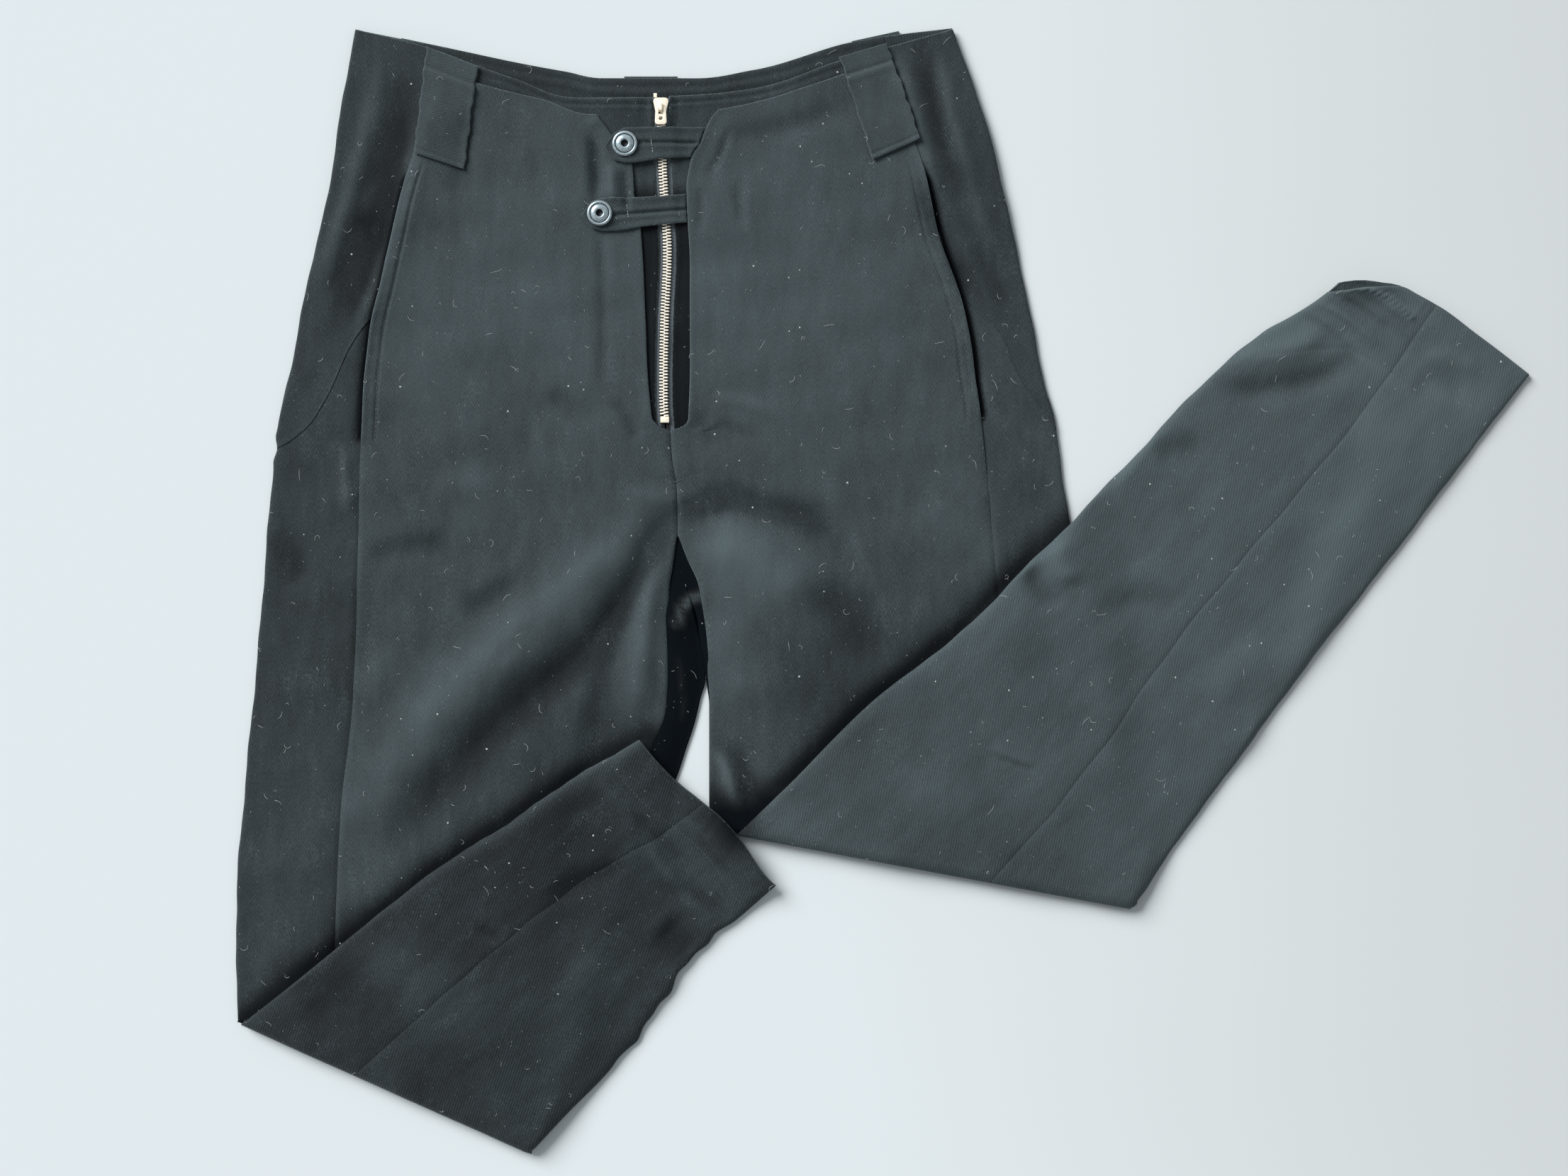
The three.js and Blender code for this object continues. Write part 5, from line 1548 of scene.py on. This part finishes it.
# Teeth by turns left and right of the zip's line, each square to it
def makeTeeth():
    points, faces = toothShape(zipLook["toothLong"], zipLook["toothWide"], zipLook["tall"])
    faces = outwards(points, faces)
    y = np.arange(zipLook["from"], zipLook["to"], zipLook["pitch"] / 2)
    side = np.where(np.arange(len(y)) % 2 == 0, 1.0, -1.0)
    slope = (zipLine(y + 1) - zipLine(y - 1)) / 2
    turn = np.arctan(slope)
    cos, sin = np.cos(turn), np.sin(turn)
    frames = flatFrames(-side * cos, side * sin, side * sin, -side * cos)
    x = zipLine(y)
    places = np.stack([x + side * zipLook["chainHalf"], y, frontHeight(x, y) + 0.35], 1)
    return copies("zip_teeth", points, faces, frames, places, toothBrass, smoothFaces=False)


teeth = makeTeeth()
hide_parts("zip_chain")


# A bevelled copy of a CAD node: its loose triangles are joined and flat ones merged before the bevel
def bevelled(node, width, material, body="trousers"):
    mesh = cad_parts[node].data.copy()
    mesh.name = f"{node}_metal"
    work = bmesh.new()
    work.from_mesh(mesh)
    bmesh.ops.remove_doubles(work, verts=work.verts, dist=1e-6)
    bmesh.ops.dissolve_limit(work, angle_limit=math.radians(4), verts=work.verts, edges=work.edges)
    work.to_mesh(mesh)
    work.free()
    made = bpy.data.objects.new(f"{node}_metal", mesh)
    bpy.context.scene.collection.objects.link(made)
    mesh.materials.clear()
    mesh.materials.append(material)
    rounding = made.modifiers.new("rounding", "BEVEL")
    rounding.width = width * millimetre
    rounding.segments = 3
    rounding.limit_method = "ANGLE"
    rounding.angle_limit = math.radians(40)
    rounding.use_clamp_overlap = True
    mesh.polygons.foreach_set("use_smooth", np.ones(len(mesh.polygons), bool))
    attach(made, body)
    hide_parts(node)
    return made


bevelled("zip_slider", 0.25, zipBrass)
bevelled("zip_pull", 0.18, zipBrass, "zip_pull")
bevelled("zip_stop_top", 0.3, zipBrass)
bevelled("zip_stop_bottom", 0.4, zipBrass)

buttonLook = {
    "sides": 96,
    "profile": [
        (0, 0), (7.5, 0), (7.9, 0.25), (8.02, 0.6), (8, 1.0), (7.85, 1.4), (7.5, 1.75), (7.0, 1.95),
        (6.5, 1.9),
        (6.2, 1.7), (6.05, 1.4), (5.85, 1.4), (5.7, 1.75), (5.3, 2.1), (4.7, 2.45), (4.0, 2.72),
        (3.3, 2.86), (2.8, 2.84),
        (2.4, 2.65), (2.2, 2.25), (2.1, 1.6), (2.05, 1.0), (1.9, 0.85), (0, 0.85),
    ],
    "darkRings": [(8, 11), (18, 23)],  # the groove and the hole, counted in rings of the profile, which get painted shade in the dark material
    "places": {"upper": (-163, 284), "lower": (-179, 240)},
}


# A turned form: a profile of radius and height carried round the upright axis
def turned(profile, sides):
    r, z = np.array(profile, float)[1:-1].T
    angle = 2 * math.pi * np.arange(sides) / sides
    ring = np.stack(
        [np.outer(r, np.cos(angle)), np.outer(r, np.sin(angle)), np.repeat(z[:, None], sides, 1)], 2
    )
    points = np.concatenate([ring.reshape(-1, 3), [[0, 0, profile[0][1]], [0, 0, profile[-1][1]]]])
    i, rings = np.arange(sides), len(r)
    j = (i + 1) % sides
    foot, head = rings * sides, rings * sides + 1
    low = np.stack([j, i, np.full(sides, foot)], 1)
    top = np.stack([(rings - 1) * sides + i, (rings - 1) * sides + j, np.full(sides, head)], 1)
    return points, [*ringQuads(sides, rings).tolist(), *low.tolist(), *top.tolist()]


for buttonName, (bx, by) in buttonLook["places"].items():
    points, faces = turned(buttonLook["profile"], buttonLook["sides"])
    # the button sits on its tab, which follows the creased front, so its height is worked out there
    rise = tabHeight(np.array([bx], float), np.array([by], float))[0] + layers["strip"] + 0.3
    vertices = (points + [bx - middle[0], by - middle[1], rise]) * millimetre
    made = makePiece(f"button_{buttonName}_metal", vertices, faces, buttonMetal)
    made.data.materials.append(buttonDark)
    rings = len(buttonLook["profile"]) - 2
    ring = np.repeat(np.arange(rings - 1), buttonLook["sides"])
    dark = np.zeros(len(made.data.polygons), np.int32)
    for first, last in buttonLook["darkRings"]:
        dark[: len(ring)][(ring >= first) & (ring < last)] = 1
    dark[-buttonLook["sides"]:] = 1
    made.data.polygons.foreach_set("material_index", dark)
    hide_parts(f"button_{buttonName}")
print("zip and buttons made")


# Stitches along a line: the line is walked in equal steps, and a small round-ended thread lies at each
def stitchRun(points, pitch, height):
    path = np.array(points, float)
    run = np.hypot(*np.diff(path, axis=0).T)
    along = np.concatenate([[0], np.cumsum(run)])
    at = np.arange(pitch / 2, along[-1], pitch)
    x, y = np.interp(at, along, path[:, 0]), np.interp(at, along, path[:, 1])
    ahead = np.stack(
        [np.interp(at + 0.2, along, path[:, 0]) - x, np.interp(at + 0.2, along, path[:, 1]) - y], 1
    )
    ahead /= np.linalg.norm(ahead, axis=1, keepdims=True) + 1e-9
    return np.stack([x, y, height(x, y)], 1), ahead


# One stitch: rings of six points along it, narrower and lower at its ends
def threadShape(long, thick):
    angle = 2 * math.pi * np.arange(6) / 6
    stops = [(-0.5, 0.25), (-0.42, 0.8), (-0.2, 1.0), (0.2, 1.0), (0.42, 0.8), (0.5, 0.25)]
    bend = [-0.5, -0.25, 0, 0, -0.25, -0.5]
    rings = [
        np.column_stack(
            [np.full(6, s * long), np.cos(angle) * thick / 2 * k, np.sin(angle) * thick / 2 * k + b * thick]
        )
        for (s, k), b in zip(stops, bend)
    ]
    return loft(rings)


# All stitches of some lines as one mesh
def sewn(name, runs, long, thick, pitch, material):
    points, faces = threadShape(long, thick)
    faces = outwards(points, faces)
    spots, ways = [], []
    for line, height in runs:
        at, ahead = stitchRun(line, pitch, height)
        spots.append(at)
        ways.append(ahead)
    spots, ways = np.concatenate(spots), np.concatenate(ways)
    frames = flatFrames(ways[:, 0], -ways[:, 1], ways[:, 1], ways[:, 0])
    return copies(name, points, faces, frames, spots, material)


# Height of a stitch that is sunk a little into the outer front
def onLap(x, y):
    return lapHeight(x, y) + layers["cloth"] - 0.3


pocketY = np.linspace(95, 258, 60)
seamRight, seamLeft = curve(rightLeg, "y", "seam"), curve(leftLeg, "y", "seam")
stitchInset = hipLook["pocketStitch"] + 0.15
stitchRuns = [
    (jPoints, onLap),
    (np.stack([seamRight(pocketY) + stitchInset, pocketY], 1), onLap),
    (np.stack([seamLeft(pocketY) - stitchInset, pocketY], 1), onLap),
    ([(-330.5, 92), (-320.5, 91.3)], onLap),
    ([(57, 110), (66, 110.5)], onLap),
    ([(-302, 259.5), (-290, 262)], onLap),
    ([(16, 262), (27, 265), (16, 268), (15.5, 258)], onLap),
]
for shinLeg in (rightShin, leftShin):
    hemCurve = curve(shinLeg["hem"], "across", "along")
    span = np.linspace(*shinLeg["stitchSpan"], 50)
    hx, hy = shinPlan(shinLeg, span, hemCurve(span) - shinLeg["hemDepth"])
    stitchRuns.append((np.stack([hx, hy], 1), lambda x, y, s=shinLeg: shinFace(s, x, y, True) - 0.36))
sewn("topstitching", stitchRuns, 2.0, 0.42, 2.7, darkThread)
tabRuns = [
    ([(-146.7, 289), (-145.3, 278.5)], lambda x, y: tabHeight(x, y) + layers["strip"] + 0.05),
    ([(-162, 246), (-160.7, 236.5)], lambda x, y: tabHeight(x, y) + layers["strip"] + 0.05),
]
sewn("tab_stitches", tabRuns, 1.5, 0.4, 1.8, paleThread)
print("stitches made")

lintLook = {
    "seed": 41, "curls": 640, "shortest": 0.9, "longest": 9.0, "thick": 0.15, "steps": 10, "dropFrom": 0.1
}


# Lint fibres: each is a short arc whose turning grows along it, carried as a thin five-sided tube
def makeLintFibres(look):
    rng = np.random.default_rng(look["seed"])
    scene = bpy.context.scene
    graph = bpy.context.evaluated_depsgraph_get()
    rings, faces, offset = [], [], 0
    sides, steps = 5, look["steps"]
    i, wall = np.arange(sides), ringQuads(sides, steps)[:, [1, 0, 3, 2]]
    low, high = np.array(cadLow), np.array(cadHigh)
    made = 0
    while made < look["curls"]:
        spot = rng.uniform(low[:2], high[:2])
        length = look["shortest"] + (look["longest"] - look["shortest"]) * rng.random() ** 3.4
        heading, bend, twist = rng.uniform(0, 2 * math.pi), rng.normal(0, 1.6), rng.normal(0, 1.6)
        hit, landing, normal, _, _, _ = scene.ray_cast(
            graph, (spot[0], spot[1], look["dropFrom"]), (0, 0, -1)
        )
        if not hit:
            continue
        t = np.linspace(0, 1, steps)
        angle = heading + bend * t + twist * t * t
        step = length / steps * millimetre
        flat = np.stack([np.cumsum(np.cos(angle)), np.cumsum(np.sin(angle))], 1) * step
        flat -= flat.mean(0)
        nz = np.array(normal)
        rise = -(flat @ nz[:2]) / max(nz[2], 0.5)
        line = (
            np.column_stack([flat, rise + (look["thick"] / 2 + 0.12 * np.sin(t * math.pi)) * millimetre])
            + np.array(landing)
        )
        thick = look["thick"] / 2 * millimetre * np.sin(np.clip(t, 0.06, 0.94) * math.pi) ** 0.4
        side = np.column_stack([-np.sin(angle), np.cos(angle), np.zeros(steps)])
        up = np.array([0, 0, 1.0])
        ring = 2 * math.pi * np.arange(sides) / sides
        tube = line[:, None] + thick[:, None, None] * (
            np.cos(ring)[None, :, None] * side[:, None] + np.sin(ring)[None, :, None] * up
        )
        rings.append(tube.reshape(-1, 3))
        faces.extend((wall + offset).tolist())
        faces.append((offset + i).tolist())
        faces.append((offset + (steps - 1) * sides + i[::-1]).tolist())
        offset += steps * sides
        made += 1
    return makePiece("lint_fibres", np.concatenate(rings), faces, lintFibre)


makeLintFibres(lintLook)
print("lint made")

# The size each piece was cut to, in metres, its flat area, and what it lies on
sheetCuts = {
    "back_r": (0.255, 0.71, 0.128, ["floor"]),
    "back_l": (0.26, 0.55, 0.099, ["floor"]),
    "side_r": (0.115, 0.485, 0.0435, ["back_r", "floor"]),
    "side_l": (0.115, 0.4, 0.0325, ["back_l", "floor"]),
    "yoke_r": (0.127, 0.27, 0.0248, ["back_r", "floor"]),
    "yoke_l": (0.124, 0.262, 0.0229, ["back_l", "floor"]),
    "front_r": (0.225, 0.69, 0.1135, ["back_r", "side_r", "yoke_r", "underlay_r"]),
    "front_l": (0.236, 0.525, 0.09, ["back_l", "side_l", "yoke_l", "underlay_l"]),
    "underlay_r": (0.148, 0.25, 0.0123, ["back_r", "zip_tape_r"]),
    "underlay_l": (0.144, 0.25, 0.0134, ["back_l", "zip_tape_l"]),
    "zip_tape_r": (0.012, 0.223, 0.0026, ["back_r"]),
    "zip_tape_l": (0.012, 0.223, 0.0026, ["back_l"]),
    "tab_upper": (0.021, 0.067, 0.00125, ["front_r", "underlay_r", "underlay_l"]),
    "tab_lower": (0.021, 0.071, 0.0013, ["front_r", "underlay_r", "underlay_l"]),
    "loop_front_r": (0.034, 0.072, 0.0023, ["front_r"]),
    "loop_front_l": (0.034, 0.068, 0.0022, ["front_l"]),
    "loop_back_r": (0.034, 0.068, 0.0022, ["floor"]),
    "loop_back_c": (0.034, 0.068, 0.0022, ["floor"]),
    "loop_back_l": (0.034, 0.068, 0.0022, ["floor"]),
    "shin_front_r": (0.128, 0.3, 0.0252, ["front_r", "side_r", "shin_back_l", "floor"]),
    "shin_front_l": (0.165, 0.53, 0.058, ["front_l", "side_l", "floor"]),
    "shin_side_r": (0.132, 0.31, 0.036, ["shin_front_r", "front_r"]),
    "shin_side_l": (0.14, 0.53, 0.059, ["shin_front_l", "floor"]),
    "shin_back_r": (0.114, 0.29, 0.0252, ["shin_front_r"]),
    "shin_back_l": (0.142, 0.53, 0.0522, ["shin_front_l"]),
}
cloths = {made.name.removesuffix("_cloth"): made for made in pieces if made.name.endswith("_cloth")}
for node, (width, length, area, below) in sheetCuts.items():
    under = [name + "_cloth" if name in cloths else name for name in below]
print("sheets declared:", len(sheetCuts))

stageLook = {
    "floor": (0.69, 0.745, 0.765),
    "floorFar": (0.585, 0.615, 0.62),
    "ambient": (0.93, 0.97, 1.0),
    "ambientStrength": 0.36,
    "keyStrength": 4.3,
    "keyFrom": (-1.0, 0.9, 0.9),
    "keySoftness": 34,
    "cameraHeight": 1.8,
    "cameraPlace": (-0.063, 0.00217),
    "frameWidth": 0.9998,
    "sensor": 36,
    "floorHalf": 4.0,
    "floorDrop": 0.0004,  # keeps the floor clear of the underside
}


# A plain floor that is a little greyer to one side, by a slow step across it: painted shade, where less light
# falls
def makeFloor():
    material, tree, shader = newMaterial("paleFloor")
    spot = add(tree, "ShaderNodeTexCoord").outputs["Object"]
    across = add(tree, "ShaderNodeSeparateXYZ", {}, {0: spot}).outputs[0]
    slow = calc(tree, "MULTIPLY_ADD", noise(tree, spot, 2.0, 2.0), 0.2, across)
    far = ramp(tree, slow, 0.0, 0.62)
    connect(
        tree, mixColour(tree, far, stageLook["floor"], stageLook["floorFar"]), shader.inputs["Base Color"]
    )
    shader.inputs["Roughness"].default_value = 0.9
    shader.inputs["Specular IOR Level"].default_value = 0.1
    mesh = bpy.data.meshes.new("floor")
    half, down = stageLook["floorHalf"], -stageLook["floorDrop"]
    corners = [(-half, -half, down), (half, -half, down), (half, half, down), (-half, half, down)]
    mesh.from_pydata(corners, [], [(0, 1, 2, 3)])
    mesh.materials.append(material)
    floor = bpy.data.objects.new("floor", mesh)
    bpy.context.scene.collection.objects.link(floor)


# One soft sun
def makeKey():
    lamp = bpy.data.lights.new("key", "SUN")
    lamp.angle = math.radians(stageLook["keySoftness"])
    lamp.energy = stageLook["keyStrength"]
    made = bpy.data.objects.new("key", lamp)
    made.location = stageLook["keyFrom"]
    made.rotation_euler = (-made.location).to_track_quat("-Z", "Y").to_euler()
    bpy.context.scene.collection.objects.link(made)


makeFloor()
world = bpy.data.worlds.new("studio")
world.use_nodes = True
world.node_tree.nodes["Background"].inputs[0].default_value = (*stageLook["ambient"], 1)
world.node_tree.nodes["Background"].inputs[1].default_value = stageLook["ambientStrength"]
bpy.context.scene.world = world
makeKey()
camera = bpy.data.cameras.new("camera")
camera.sensor_width = stageLook["sensor"]
camera.lens = stageLook["sensor"] * stageLook["cameraHeight"] / stageLook["frameWidth"]
camera.clip_start, camera.clip_end = 0.05, 20
cameraObject = bpy.data.objects.new("camera", camera)
cameraObject.location = (*stageLook["cameraPlace"], stageLook["cameraHeight"])
bpy.context.scene.collection.objects.link(cameraObject)
bpy.context.scene.camera = cameraObject
bpy.context.scene.view_settings.view_transform = "Standard"
